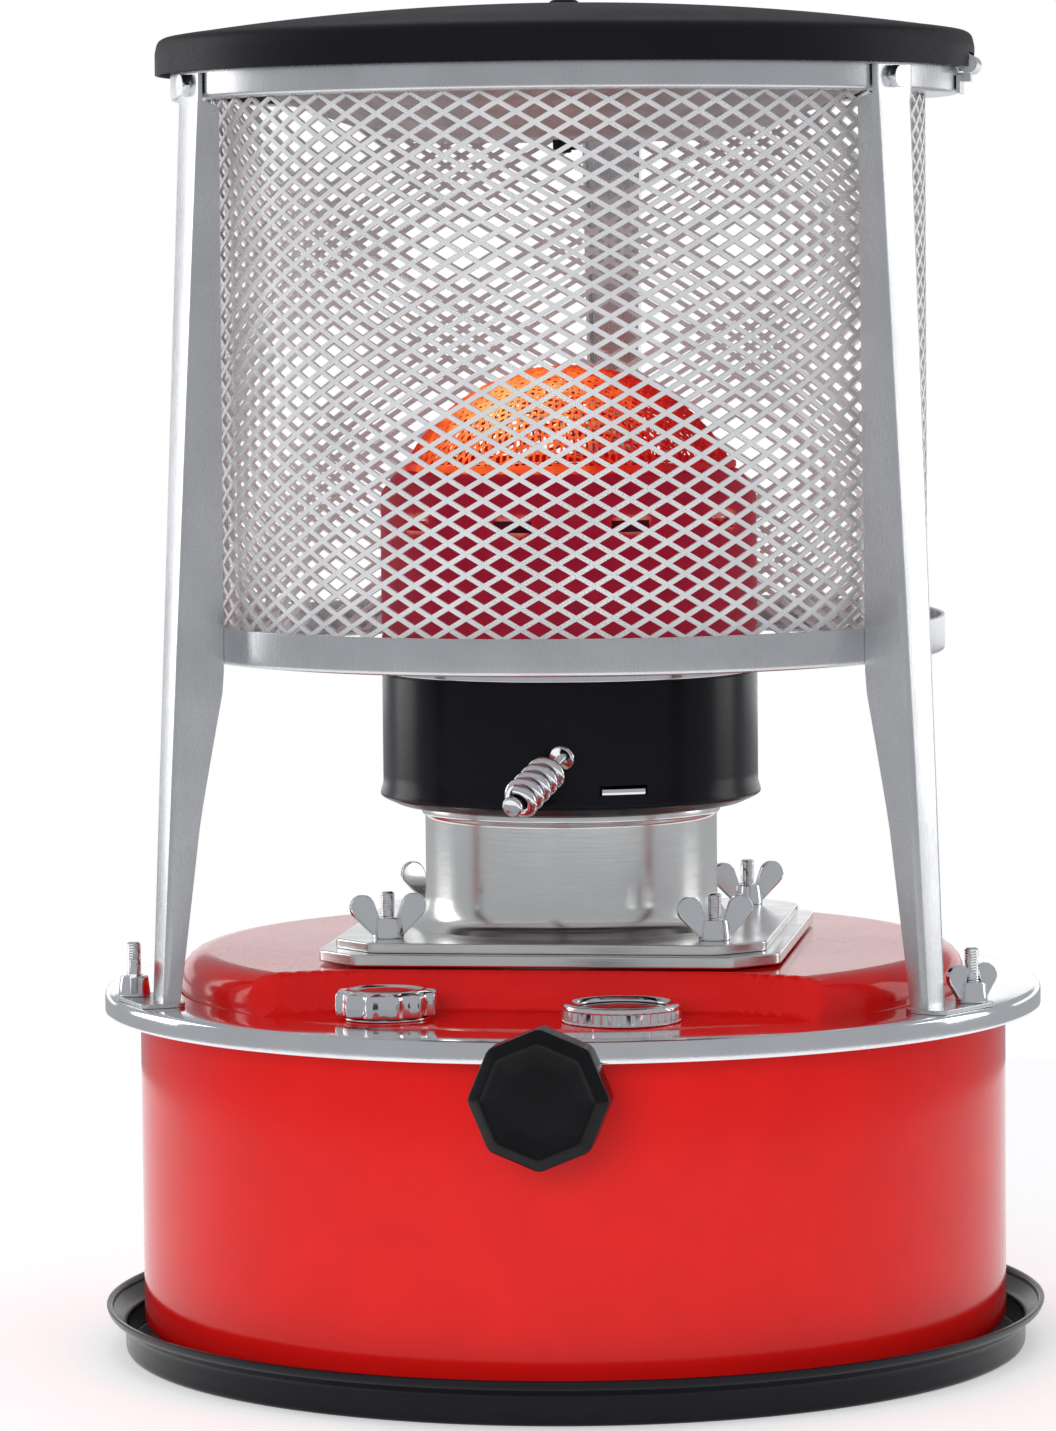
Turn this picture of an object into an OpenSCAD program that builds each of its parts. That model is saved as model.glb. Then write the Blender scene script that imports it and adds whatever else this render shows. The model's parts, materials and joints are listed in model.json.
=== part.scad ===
// Kerosene heater: a round fuel tank in a drip tray, a ten-wick burner that lifts for lighting,
// and a wire guard on three legs under a hinged lid.
// Millimetres, +Z up. The origin is the centre of the tray's underside, and the wick knob faces -Y.

/* [Drip tray] */
// Outer radius of the tray's flared lip
tray_lip_r = 164.3; // [164:0.1:170]
// Radius of the tray's upright wall
tray_wall_r = 157.5; // [156:0.1:160]
// Height of the lip above the ground
tray_h = 16.5; // [14:0.5:20]

/* [Fuel tank] */
// Outer radius of the tank's wall
tank_r = 150.8; // [148:0.1:152]
// Height of the tank's underside
tank_z0 = 8; // [6:0.5:9]
// Height of the seam under the collar ring
seam_z = 124; // [122:0.5:125]
// Radius of the raised deck that carries the burner
deck_r = 136.5; // [134:0.1:137]
// Height of the deck's top
deck_z = 140; // [139:0.5:142]
// Thickness of the tank's sheet metal
sheet_t = 1; // [0.8:0.1:1.2]
// Outer radius of the plated collar ring
collar_r = 163; // [161:0.1:163.5]

/* [Burner] */
// Outer radius of the cast throat
throat_r = 50.8; // [50:0.1:52]
// Half width of the throat's square flange
flange_half = 79; // [76:0.5:80]
// Outer radius of the black burner collar
burner_r = 65.3; // [64:0.1:66]
// Height of the burner collar's floor, where it rests on the throat
burner_z = 190; // [190:0.5:190.5]
// Height of the dome's top
dome_top_z = 342; // [336:1:350]
// Number of wicks
wick_count = 10; // [8:1:10]
// Diameter of each wick
wick_d = 9; // [8:0.5:9]

/* [Wick drive] */
// Sideways place of the knob's shaft
shaft_x = 11.7; // [11:0.1:13]
// Height of the knob's shaft
shaft_z = 110; // [109:0.5:110.5]
// Diameter of the shaft
shaft_d = 6; // [5:0.5:6]
// Radius of the octagonal knob across its corners
knob_r = 23.5; // [20:0.5:25]
// Tooth size of the rack and pinion
gear_module = 1; // [1:0.1:1]
// Teeth on the pinion
pinion_teeth = 12; // [12:1:12]

/* [Filler and gauge] */
// Distance of the filler cap from the heater's axis
cap_place_r = 116; // [114:0.5:117]
// Outer radius of the filler cap
cap_r = 17.5; // [16:0.5:18]
// Distance of the fuel gauge from the heater's axis
gauge_place_r = 112; // [111:0.5:113]
// Outer radius of the gauge's bezel
gauge_r = 20; // [18:0.5:20.5]

/* [Guard] */
// Radius of the wire mesh
mesh_r = 123.6; // [123:0.1:124]
// Underside of the guard's lower ring
lower_ring_z = 242.5; // [240:0.5:245]
// Outer radius of the lower ring
lower_ring_r = 130.4; // [130:0.1:131]
// Underside of the guard's upper ring
upper_ring_z = 433.7; // [430:0.1:436]
// Outer radius of the upper ring
upper_ring_r = 136; // [135.5:0.1:136]
// Distance of a leg's outer face from the axis at its foot
leg_foot_r = 152.8; // [150:0.1:154]
// Width of a leg at its top
leg_top_w = 21.8; // [20:0.2:23]
// Width of a leg at its foot
leg_foot_w = 13; // [12:0.2:16]

/* [Lid] */
// Outer radius of the lid
lid_r = 141.3; // [141.3:0.1:142]
// Lower edge of the lid's skirt
lid_z0 = 442.5; // [442.5:0.1:443]
// Crown of the lid
lid_top_z = 466; // [463:0.5:470]
// Radius of the heat deflector's flat middle
deflector_r = 58; // [50:1:65]

/* [Hidden] */
$fn = 96;
far = 400;             // long enough for a cutter to pass through anything
running_gap = 0.05;    // radial clearance of a part that turns in a hole
slip_gap = 0.1;        // clearance of a part that is only slipped into place

// Tank and collar
brim_t = 1;
deck_sheet_z = deck_z - sheet_t;
collar_z0 = seam_z + brim_t;
collar_t = 1.8;
collar_z1 = collar_z0 + collar_t;
collar_skirt_z = 119.5;
pocket_z = collar_z1 + 0.2;
pocket_back_y = -83;
deck_hole_r = 48;
draught_r = 29.5;
draught_bore_r = 28;
draught_top_z = 186;

// Burner
gasket_t = 0.8;
flange_z0 = deck_z + gasket_t;
flange_z1 = flange_z0 + 4;
flange_z2 = flange_z1 + 3.4;
throat_bore_r = 47.5;
stud_place = 56;
stud_d = 5;
wick_circle_r = 38.5;
guide_z0 = 172;
burner_wall_z0 = burner_z + 1.5;
burner_wall_z1 = 236;
flame_z0 = 240;
shoulder_z0 = 298;
shoulder_z1 = 306;
dome_r = 57.5;
inner_r = 36;

// Wick drive
pitch_r = gear_module * pinion_teeth / 2;
tooth_pitch = PI * gear_module;
gear_y0 = -56;
gear_w = 6;
carrier_z0 = 114;
carrier_z1 = 121.6;
rack_z0 = 86;
knob_back_y = -164.2;
knob_front_y = -181;
shaft_in_y = -47;
bush_flange_y = -146.5;

// Filler and gauge
cap_angle = 245;
gauge_angle = 285.7;
neck_r = 12.5;
neck_top_z = 131.5;
float_pivot_z = 70;
float_arm_len = 52;
float_drop = 48;       // how far the empty arm hangs below level, in degrees
float_heading = 37;    // which way the arm points, seen from above
hub_floor_z = float_pivot_z - 6;

// Guard
ring_t = 1.2;
lower_ring_z1 = lower_ring_z + 12.5;
upper_ring_z1 = 454;
leg_t = 1.2;
leg_top_r = 137.6;
leg_tab_z = 430;
leg_top_z = 442;
leg_foot_z = collar_z1 + 0.02;
leg_angles = [90, 210, 330];
foot_r = 155;
foot_stud_offset = 18; // sideways place of a foot's stud, towards the back of the heater
foot_t = 1.5;
bolt_z = 438;

// Lid
lid_t = 1.6;
lid_seat_z = upper_ring_z1;
lid_shoulder_r = 136;
hinge_x = 140;
hinge_z = 443.5;
knuckle_r = 3.2;
deflector_z = 420;

// ---------- helpers ----------

// Points along an arc, from angle a0 to angle a1
function arc(x, y, r, a0, a1, n = 8) = [for (i = [0 : n]) let (a = a0 + (a1 - a0) * i / n) [x + r * cos(a), y + r * sin(a)]];

// A flat ring or a tube between two heights
module tube(r_out, r_in, z0, z1) {
    difference() {
        translate([0, 0, z0]) cylinder(r = r_out, h = z1 - z0);
        translate([0, 0, z0 - 1]) cylinder(r = r_in, h = z1 - z0 + 2);
    }
}

// Places its children at a radius and an angle about the heater's axis
module polar(angle, r) {
    rotate([0, 0, angle]) translate([r, 0, 0]) children();
}

// A cylinder along +X from x0 to x1, at a height
module along_x(r, x0, x1, z, sides = 48) {
    translate([x0, 0, z]) rotate([0, 90, 0]) cylinder(r = r, h = x1 - x0, $fn = sides);
}

// A cylinder on the wick shaft's line from y0 to y1
module along_shaft(r, y0, y1, sides = 48) {
    translate([shaft_x, y1, shaft_z]) rotate([90, 0, 0]) cylinder(r = r, h = y1 - y0, $fn = sides);
}

module at_cap() {
    polar(cap_angle, cap_place_r) children();
}

module at_gauge() {
    polar(gauge_angle, gauge_place_r) children();
}

module at_throat_studs() {
    for (sx = [-1, 1], sy = [-1, 1]) translate([sx * stud_place, sy * stud_place, 0]) children();
}

// The front legs' studs sit on the side away from the knob
function foot_side(angle) = angle == 210 ? -1 : 1;

module at_foot_studs() {
    for (a = leg_angles) rotate([0, 0, a]) translate([foot_r, foot_side(a) * foot_stud_offset, 0]) children();
}

// ---------- drip tray and tank ----------

module drip_tray() {
    wall_t = 1.2;
    color("#1b1b1d")
    rotate_extrude()
    polygon([[0, 0], [tray_wall_r, 0], [tray_wall_r, tray_h - 6.5], [tray_lip_r, tray_h - 2],
             [tray_lip_r, tray_h], [tray_lip_r - 1.6, tray_h], [tray_lip_r - 1.6, tray_h - 1.4],
             [tray_wall_r - wall_t, tray_h - 5.6], [tray_wall_r - wall_t, wall_t], [0, wall_t]]);
}

module tank_spacers() {
    color("#2a2a2c")
    for (a = [30, 150, 270]) polar(a, 120) translate([0, 0, 1.2]) cylinder(r = 9, h = tank_z0 - 1.2);
}

module tank_shell() {
    corner = 3;
    color("#d8281f")
    difference() {
        rotate_extrude()
        polygon(concat([[0, tank_z0]], arc(tank_r - corner, tank_z0 + corner, corner, -90, 0),
                       [[tank_r, seam_z], [tank_r - sheet_t, seam_z]],
                       arc(tank_r - corner, tank_z0 + corner, corner - sheet_t, 0, -90),
                       [[0, tank_z0 + sheet_t]]));
        translate([0, 0, tank_z0 - 1]) cylinder(r = draught_r + slip_gap, h = 4);
        along_shaft(6 + slip_gap, -tank_r - 5, -tank_r + 10);
    }
}

// The pocket in the front of the deck, where the filler cap and the gauge sit.
// grow widens it by the sheet's thickness for the underside of the pressing.
module pocket(grow = 0) {
    back = pocket_back_y + grow;
    translate([0, 0, pocket_z - grow])
    linear_extrude(height = 30)
    polygon([[-66 - grow, back], [66 + grow, back], [106 + grow, -104 + grow],
             [106 + grow, -160], [-106 - grow, -160], [-106 - grow, -104 + grow]]);
}

module deck_form(inset = 0) {
    difference() {
        translate([0, 0, seam_z - inset]) cylinder(r = deck_r - inset, h = deck_z - seam_z);
        pocket(inset);
    }
}

module tank_top() {
    color("#d8281f")
    difference() {
        union() {
            deck_form();
            translate([0, 0, seam_z]) cylinder(r = tank_r, h = brim_t);
        }
        deck_form(sheet_t);
        translate([0, 0, seam_z]) cylinder(r = deck_hole_r, h = 30);
        at_cap() translate([0, 0, seam_z]) cylinder(r = neck_r + slip_gap, h = 10);
        at_gauge() translate([0, 0, seam_z]) cylinder(r = 14 + slip_gap, h = 10);
    }
}

// Air rises through this tube from under the tank into the middle of the flame
module draught_tube() {
    color("#b9bcbd")
    union() {
        tube(draught_r, draught_bore_r, tank_z0 - 0.8, draught_top_z);
        tube(36, draught_bore_r, tank_z0 - 0.8, tank_z0);
    }
}

module collar_ring() {
    color("#d9dcdd")
    rotate_extrude()
    polygon(concat([[deck_r + 0.2, collar_z0], [collar_r - 1.5, collar_z0],
                    [collar_r - 1.5, collar_skirt_z], [collar_r, collar_skirt_z]],
                   arc(collar_r - 1.5, collar_z1 - 1.5, 1.5, 0, 90),
                   [[deck_r + 0.2, collar_z1]]));
}

// ---------- filler ----------

module filler_neck() {
    color("#c9cccd")
    at_cap() {
        tube(neck_r, neck_r - 1.2, pocket_z - 5, neck_top_z);
        tube(neck_r + 2.5, neck_r - 0.5, pocket_z, pocket_z + 0.8);
    }
}

module fuel_strainer() {
    cup_r = neck_r - 1.4;
    cup_z = 92;
    color("#c8a24a")
    at_cap() difference() {
        union() {
            translate([0, 0, cup_z]) cylinder(r = cup_r, h = neck_top_z - cup_z);
            translate([0, 0, neck_top_z]) cylinder(r = neck_r, h = 0.6);
        }
        translate([0, 0, cup_z + 0.8]) cylinder(r = cup_r - 0.8, h = 60);
        for (row = [0 : 2], a = [0 : 60 : 300])
            rotate([0, 0, a + 30 * (row % 2)]) along_x(1.6, cup_r - 3, cup_r + 2, cup_z + 6 + 8 * row, 16);
    }
}

module cap_gasket() {
    color("#26262a")
    at_cap() tube(neck_r, neck_r - 4, neck_top_z + 0.6, neck_top_z + 1.8);
}

module filler_cap() {
    skirt_z = pocket_z + 1.2;
    top_z = neck_top_z + 5.2;
    lobes = 12;
    color("#dfe2e3")
    at_cap() difference() {
        rotate_extrude()
        polygon([[0, neck_top_z + 1.8], [neck_r + 0.4, neck_top_z + 1.8], [neck_r + 0.4, skirt_z],
                 [cap_r, skirt_z], [cap_r, top_z - 2.4], [cap_r - 2.4, top_z], [0, top_z]]);
        for (i = [0 : lobes - 1])
            polar(i * 360 / lobes, cap_r + 2) translate([0, 0, skirt_z - 1]) cylinder(r = 3.6, h = 20, $fn = 32);
    }
}

// ---------- fuel gauge ----------

module gauge_body() {
    color("#c0c2c3")
    at_gauge() {
        difference() {
            union() {
                translate([0, 0, pocket_z]) cylinder(r = 18, h = 3);
                translate([0, 0, pocket_z - 5]) cylinder(r = 14, h = 6);
            }
            translate([0, 0, pocket_z + 1]) cylinder(r = 16.4, h = 5);
            translate([0, 0, pocket_z - 6]) cylinder(r = 3 + running_gap, h = 10);
        }
        rotate([0, 0, float_heading - gauge_angle]) difference() {
            translate([-6, -5.5, hub_floor_z]) cube([12, 2.5, pocket_z - 4 - hub_floor_z]);
            translate([0, 0, float_pivot_z]) rotate([90, 0, 0]) cylinder(r = 1.5 + running_gap, h = 20, center = true);
        }
    }
}

module gauge_dial() {
    color("#e9e4d4")
    at_gauge() tube(16.3, 3.4, pocket_z + 1, pocket_z + 1.6);
}

module gauge_needle() {
    color("#c0302a")
    at_gauge() {
        translate([0, 0, pocket_z - 8]) cylinder(r = 3, h = 9.8);
        translate([0, 0, pocket_z + 1.8]) cylinder(r = 2.6, h = 1, $fn = 48);
        rotate([0, 0, 35]) translate([0, -0.7, pocket_z + 1.9]) cube([13.5, 1.4, 0.7]);
    }
}

module gauge_glass() {
    color("#20262b")
    at_gauge() translate([0, 0, pocket_z + 3]) cylinder(r = 17, h = 1.4);
}

module gauge_bezel() {
    grips = 24;
    bezel_z = pocket_z + 6.4;
    color("#dfe2e3")
    at_gauge() difference() {
        rotate_extrude()
        polygon([[18 + slip_gap, pocket_z + 0.1], [gauge_r, pocket_z + 0.1], [gauge_r, bezel_z - 2],
                 [gauge_r - 2, bezel_z], [15.5, bezel_z], [15.5, pocket_z + 4.4], [18 + slip_gap, pocket_z + 4.4]]);
        for (i = [0 : grips - 1])
            polar(i * 360 / grips, gauge_r + 0.5) translate([0, 0, pocket_z]) cylinder(r = 1.3, h = 5, $fn = 16);
    }
}

// The arm's frame: +X runs along the arm, and the pivot is at the origin
module at_float() {
    at_gauge() translate([0, 0, float_pivot_z])
        rotate([0, 0, float_heading - gauge_angle]) rotate([0, float_drop, 0]) children();
}

module float_arm() {
    color("#c8a24a")
    at_float() {
        rotate([90, 0, 0]) cylinder(r = 1.5, h = 9, center = true);
        rotate([90, 0, 0]) translate([0, 0, -2.8]) cylinder(r = 4, h = 3.5);
        rotate([0, 90, 0]) translate([0, 1.2, 0]) cylinder(r = 1.2, h = float_arm_len - 10);
    }
}

module float() {
    color("#d9c9a0")
    at_float() translate([float_arm_len, 1.2, 0]) rotate([0, 90, 0]) cylinder(r = 11, h = 20, center = true);
}

// ---------- burner throat and wicks ----------

module throat_gasket() {
    color("#b8b0a0")
    tube(74, deck_hole_r, deck_z, flange_z0);
}

module flange_plate(half, cut, z0, z1) {
    translate([0, 0, z0]) linear_extrude(height = z1 - z0)
    polygon([[-half, -half + cut], [-half + cut, -half], [half - cut, -half], [half, -half + cut],
             [half, half - cut], [half - cut, half], [-half + cut, half], [-half, half - cut]]);
}

module throat() {
    rim_z = burner_z;
    color("#c6c9ca")
    difference() {
        union() {
            flange_plate(flange_half, 15, flange_z0, flange_z1);
            flange_plate(flange_half - 5, 15, flange_z1, flange_z2);
            rotate_extrude()
            polygon([[0, flange_z1], [57, flange_z2], [54, flange_z2 + 2.5], [throat_r, flange_z2 + 7],
                     [throat_r, rim_z - 4], [throat_r + 1.2, rim_z - 3], [throat_r + 1.2, rim_z], [0, rim_z]]);
        }
        translate([0, 0, flange_z0 - 1]) cylinder(r = throat_bore_r, h = guide_z0 - 2 - flange_z0 + 1);
        translate([0, 0, flange_z0 - 1]) cylinder(r = throat_bore_r - 2, h = far);
        translate([0, 0, guide_z0]) cylinder(r = throat_bore_r, h = far);
        at_throat_studs() translate([0, 0, flange_z0 - 1]) cylinder(r = stud_d / 2 + 0.5, h = 20, $fn = 32);
    }
}

module throat_studs() {
    color("#c9cccd")
    at_throat_studs() translate([0, 0, deck_z]) cylinder(d = stud_d, h = 24, $fn = 32);
}

// A wing nut that stands on z = 0, threaded on a rod of the given diameter
module wing_nut(bore_d, span = 27, height = 15) {
    lobe_r = 4.4;
    lobe_x = span / 2 - lobe_r;
    thick = 2.4;
    difference() {
        union() {
            cylinder(r1 = 5.6, r2 = 4.6, h = 7, $fn = 48);
            for (side = [0, 180]) rotate([0, 0, side])
                translate([0, thick / 2, 0]) rotate([90, 0, 0]) linear_extrude(height = thick) {
                    polygon([[3.5, 0.8], [5.6, 0.8], [lobe_x + lobe_r - 0.6, height - lobe_r - 2],
                             [lobe_x - 2.6, height - 0.9], [3.5, 6.5]]);
                    translate([lobe_x, height - lobe_r]) circle(r = lobe_r, $fn = 32);
                }
        }
        translate([0, 0, -1]) cylinder(d = bore_d + 2 * slip_gap, h = height + 2, $fn = 32);
    }
}

module throat_wing_nuts() {
    color("#d9dcdd")
    at_throat_studs() translate([0, 0, flange_z2]) rotate([0, 0, 25]) wing_nut(stud_d);
}

module at_wicks() {
    for (i = [0 : wick_count - 1]) polar(270 + i * 360 / wick_count, wick_circle_r) children();
}

module wick_guide() {
    color("#a9acae")
    difference() {
        tube(throat_bore_r, draught_r, guide_z0, guide_z0 + 12);
        at_wicks() translate([0, 0, guide_z0 - 1]) cylinder(r = wick_d / 2 + 0.5, h = 14);
    }
}

module wicks() {
    color("#e8e0cc")
    at_wicks() translate([0, 0, tank_z0 + 4]) cylinder(d = wick_d, h = 162);
}

// ---------- wick drive ----------

// One straight-sided gear tooth that points along +X from the pitch line at x = 0
module tooth(root) {
    polygon([[-root, -1.02], [0, -0.66], [0.8, -0.36], [0.8, 0.36], [0, 0.66], [-root, 1.02]]);
}

module wick_carrier() {
    rack_x = shaft_x - pitch_r;
    rack_back = 3.6;
    color("#b0a060")
    difference() {
        union() {
            tube(46, draught_r + 1.5, carrier_z0, carrier_z1);
            translate([rack_x - rack_back, gear_y0, carrier_z1 - 4]) cube([9, 16, 4]);
            translate([rack_x - rack_back, gear_y0, rack_z0]) cube([rack_back - 1.2, gear_w, carrier_z1 - rack_z0]);
            translate([rack_x, gear_y0 + gear_w, shaft_z]) rotate([90, 0, 0]) linear_extrude(height = gear_w)
                for (i = [-8 : 1]) translate([0, (i + 0.5) * tooth_pitch]) tooth(1.3);
        }
        at_wicks() translate([0, 0, carrier_z0 - 1]) cylinder(d = wick_d, h = 12);
    }
}

module pinion() {
    color("#b0a060")
    translate([shaft_x, gear_y0 + gear_w, shaft_z]) rotate([90, 0, 0]) difference() {
        linear_extrude(height = gear_w) {
            circle(r = pitch_r - 1.1);
            for (i = [0 : pinion_teeth - 1]) rotate(i * 360 / pinion_teeth) translate([pitch_r, 0]) tooth(1.6);
        }
        translate([0, 0, -1]) cylinder(d = shaft_d + 0.02, h = gear_w + 2);
    }
}

module wick_shaft() {
    color("#c0c2c3")
    along_shaft(shaft_d / 2, knob_front_y + 4, shaft_in_y);
}

// Hangs from the underside of the deck and carries the shaft's inner end
module shaft_bracket() {
    color("#b9bcbd")
    difference() {
        union() {
            translate([shaft_x - 7, -64, shaft_z - 7]) cube([14, 2.5, deck_sheet_z - shaft_z + 7]);
            translate([shaft_x - 7, -76, deck_sheet_z - 2]) cube([14, 14.5, 2]);
        }
        along_shaft(shaft_d / 2 + running_gap, -far, 0);
    }
}

module shaft_bush() {
    color("#c8a24a")
    difference() {
        union() {
            along_shaft(6, -156, bush_flange_y);
            along_shaft(9, bush_flange_y, bush_flange_y + 3);
        }
        along_shaft(shaft_d / 2 + running_gap, -far, 0);
    }
}

module gland_nut() {
    color("#c8a24a")
    difference() {
        along_shaft(8.2, -160, -152.5, 6);
        along_shaft(6 + slip_gap, -156.2, 0);
        along_shaft(shaft_d / 2 + running_gap, -far, 0);
    }
}

module knob() {
    bevel = 3;
    color("#161618")
    difference() {
        union() {
            translate([shaft_x, knob_back_y, shaft_z]) rotate([90, 0, 0])
                cylinder(r = knob_r, h = knob_back_y - knob_front_y - bevel, $fn = 8);
            translate([shaft_x, knob_front_y + bevel, shaft_z]) rotate([90, 0, 0])
                cylinder(r1 = knob_r, r2 = knob_r - 3.4, h = bevel, $fn = 8);
        }
        along_shaft(knob_r - 5, knob_back_y - 4, 0);
        along_shaft(shaft_d / 2 + 0.01, knob_front_y + 4, 0);
        translate([shaft_x, knob_back_y - 8, shaft_z - far]) cylinder(r = 1.6, h = far, $fn = 24);
    }
}

module knob_grub_screw() {
    color("#8d8f92")
    translate([shaft_x, knob_back_y - 8, shaft_z - shaft_d / 2 - 8]) cylinder(r = 1.55, h = 7.9, $fn = 24);
}

// ---------- lift-off burner ----------

module burner_collar() {
    wall = 1.3;
    slot_angle = 293.3;
    color("#141416")
    difference() {
        rotate_extrude()
        polygon([[34, burner_z], [burner_r - 4, burner_z], [burner_r + 0.9, burner_wall_z0 + 1.2],
                 [burner_r + 0.9, burner_wall_z0 + 3], [burner_r, burner_wall_z0 + 6], [burner_r, burner_wall_z1],
                 [burner_r - wall, burner_wall_z1], [burner_r - wall, burner_wall_z0 + 2],
                 [burner_r - 4 - wall, burner_wall_z0], [34, burner_wall_z0]]);
        rotate([0, 0, slot_angle]) translate([50, -8.5, 197.4]) cube([40, 17, 3.4]);
        for (i = [0 : 19]) polar(i * 18, 57) translate([0, 0, burner_z - 1]) cylinder(r = 2.2, h = 4, $fn = 24);
    }
}

module burner_rim() {
    color("#cfd2d3")
    rotate_extrude()
    polygon([[burner_r - 6, burner_wall_z1], [burner_r - 0.3, burner_wall_z1], [burner_r - 0.3, flame_z0],
             [burner_r - 1.5, flame_z0], [burner_r - 1.5, burner_wall_z1 + 1.2], [burner_r - 6, burner_wall_z1 + 1.2]]);
}

module inner_flame_cylinder() {
    color("#8c4a2a")
    difference() {
        tube(inner_r, inner_r - 1, burner_wall_z0, shoulder_z0 + 2);
        for (row = [0 : 3], i = [0 : 5])
            rotate([0, 0, i * 60 + 30 * (row % 2)]) along_x(2.5, inner_r - 4, inner_r + 4, burner_wall_z0 + 20 + row * 22, 24);
    }
}

module outer_flame_cylinder() {
    color("#d0342c")
    difference() {
        rotate_extrude()
        polygon([[burner_r, flame_z0], [burner_r, shoulder_z0], [dome_r + 2, shoulder_z1], [dome_r - 3, shoulder_z1],
                 [dome_r - 3, shoulder_z1 - 1], [dome_r + 1.4, shoulder_z1 - 1], [burner_r - 1, shoulder_z0 - 1],
                 [burner_r - 1, flame_z0 + 1.2], [burner_r - 5, flame_z0 + 1.2], [burner_r - 5, flame_z0]]);
        for (i = [0 : 9])
            rotate([0, 0, 260.3 + 36 * i]) translate([burner_r - 8, -6, 288]) cube([16, 12, 4]);
    }
}

module flame_spreader() {
    color("#7c5038")
    difference() {
        rotate_extrude()
        polygon([[0, shoulder_z0 + 2], [inner_r + 6, shoulder_z0 + 2], [inner_r + 6, shoulder_z0 + 6],
                 [inner_r + 5, shoulder_z0 + 6], [inner_r + 5, shoulder_z0 + 3], [0, shoulder_z0 + 3]]);
        translate([0, 0, shoulder_z0]) cylinder(r = 2 + slip_gap, h = 10, $fn = 32);
    }
}

// Ties the spreader down to a cross bar in the burner's floor
module burner_pin() {
    color("#9a9da0")
    union() {
        translate([0, 0, burner_wall_z0]) cylinder(r = 2, h = shoulder_z0 + 7 - burner_wall_z0, $fn = 32);
        translate([0, 0, shoulder_z0 + 3]) cylinder(r = 5, h = 2.4, $fn = 6);
        translate([-inner_r + 1.2, -3, burner_wall_z0]) cube([2 * inner_r - 2.4, 6, 1.5]);
    }
}

module dome_mesh() {
    rise = dome_top_z - shoulder_z1;
    ball_r = (dome_r * dome_r + rise * rise) / (2 * rise);
    half_angle = asin(dome_r / ball_r);
    color("#f08a3c")
    rotate_extrude()
    polygon(concat(arc(0, dome_top_z - ball_r, ball_r, 90 - half_angle, 90, 16),
                   arc(0, dome_top_z - ball_r, ball_r - 1.2, 90, 91.2 - half_angle, 16)));
}

// The handle's frame: +Z runs outwards along the handle from the collar's wall
module at_handle() {
    translate([6.4, -64.4, 211.5]) rotate([0, 0, -113]) rotate([0, 113, 0]) children();
}

module handle_rod() {
    color("#c9cccd")
    at_handle() {
        translate([0, 0, 2.6]) cylinder(r = 1.6, h = 34.5, $fn = 32);
        translate([0, 0, 36.5]) cylinder(r = 3.6, h = 2, $fn = 32);
    }
}

module handle_coil() {
    turns = 5;
    wire_r = 1.9;
    coil_r = 4.8;
    coil_pitch = 5;
    color("#e2e5e6")
    at_handle() translate([0, 0, 36.4 - (turns - 1) * coil_pitch - wire_r])
        rotate_extrude() {
            for (i = [0 : turns - 1]) translate([coil_r, i * coil_pitch]) circle(r = wire_r, $fn = 24);
            translate([coil_r - 0.6, 0]) square([1.2, (turns - 1) * coil_pitch]);
        }
}

// ---------- guard ----------

module lower_ring() {
    color("#a7a9ab")
    difference() {
        rotate_extrude()
        polygon([[121, lower_ring_z], [lower_ring_r, lower_ring_z], [lower_ring_r, lower_ring_z1],
                 [lower_ring_r - ring_t, lower_ring_z1], [lower_ring_r - ring_t, lower_ring_z + ring_t],
                 [121, lower_ring_z + ring_t]]);
        for (a = leg_angles) rotate([0, 0, a]) along_x(2 + slip_gap, 100, 140, lower_ring_z + 6.5, 24);
    }
}

module upper_ring() {
    color("#b4b7b9")
    difference() {
        rotate_extrude()
        polygon([[121, upper_ring_z], [upper_ring_r, upper_ring_z], [upper_ring_r, upper_ring_z1],
                 [upper_ring_r - ring_t, upper_ring_z1], [upper_ring_r - ring_t, upper_ring_z + ring_t],
                 [121, upper_ring_z + ring_t]]);
        for (a = leg_angles) rotate([0, 0, a]) along_x(2 + slip_gap, 120, 145, bolt_z, 24);
    }
}

module guard_mesh() {
    color("#c9cccd")
    tube(mesh_r + 0.5, mesh_r - 0.5, lower_ring_z + ring_t, upper_ring_z);
}

// Distance of a leg's outer face from the axis, at a height
function leg_face(z) = leg_foot_r + (leg_top_r - leg_foot_r) * (z - leg_foot_z) / (leg_tab_z - leg_foot_z);

// A leg's side profile, in distance from the axis and height
module leg_profile() {
    inner = lower_ring_r - 0.15;
    tab_r = upper_ring_r + 0.02;
    polygon([[leg_foot_r, leg_foot_z], [leg_top_r, leg_tab_z], [leg_top_r, leg_top_z], [tab_r, leg_top_z],
             [tab_r, upper_ring_z - 1], [inner, upper_ring_z - 3], [inner, 236], [134.5, 214],
             [139, 190], [147, leg_foot_z]]);
}

// The hollow of the channel, open towards the heater's axis
module leg_hollow() {
    z0 = leg_foot_z + foot_t;
    polygon([[leg_face(z0) - leg_t, z0], [leg_top_r - leg_t, leg_tab_z], [100, leg_tab_z], [100, z0]]);
}

// A slab that narrows from the leg's top to its foot, to cut profiles to the leg's width
module leg_taper(inset) {
    foot = leg_foot_w / 2 - inset;
    top = leg_top_w / 2 - inset;
    translate([90, 0, 0]) rotate([90, 0, 90]) linear_extrude(height = 90)
        polygon([[-foot, leg_foot_z], [foot, leg_foot_z], [top, leg_top_z], [-top, leg_top_z]]);
}

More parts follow.
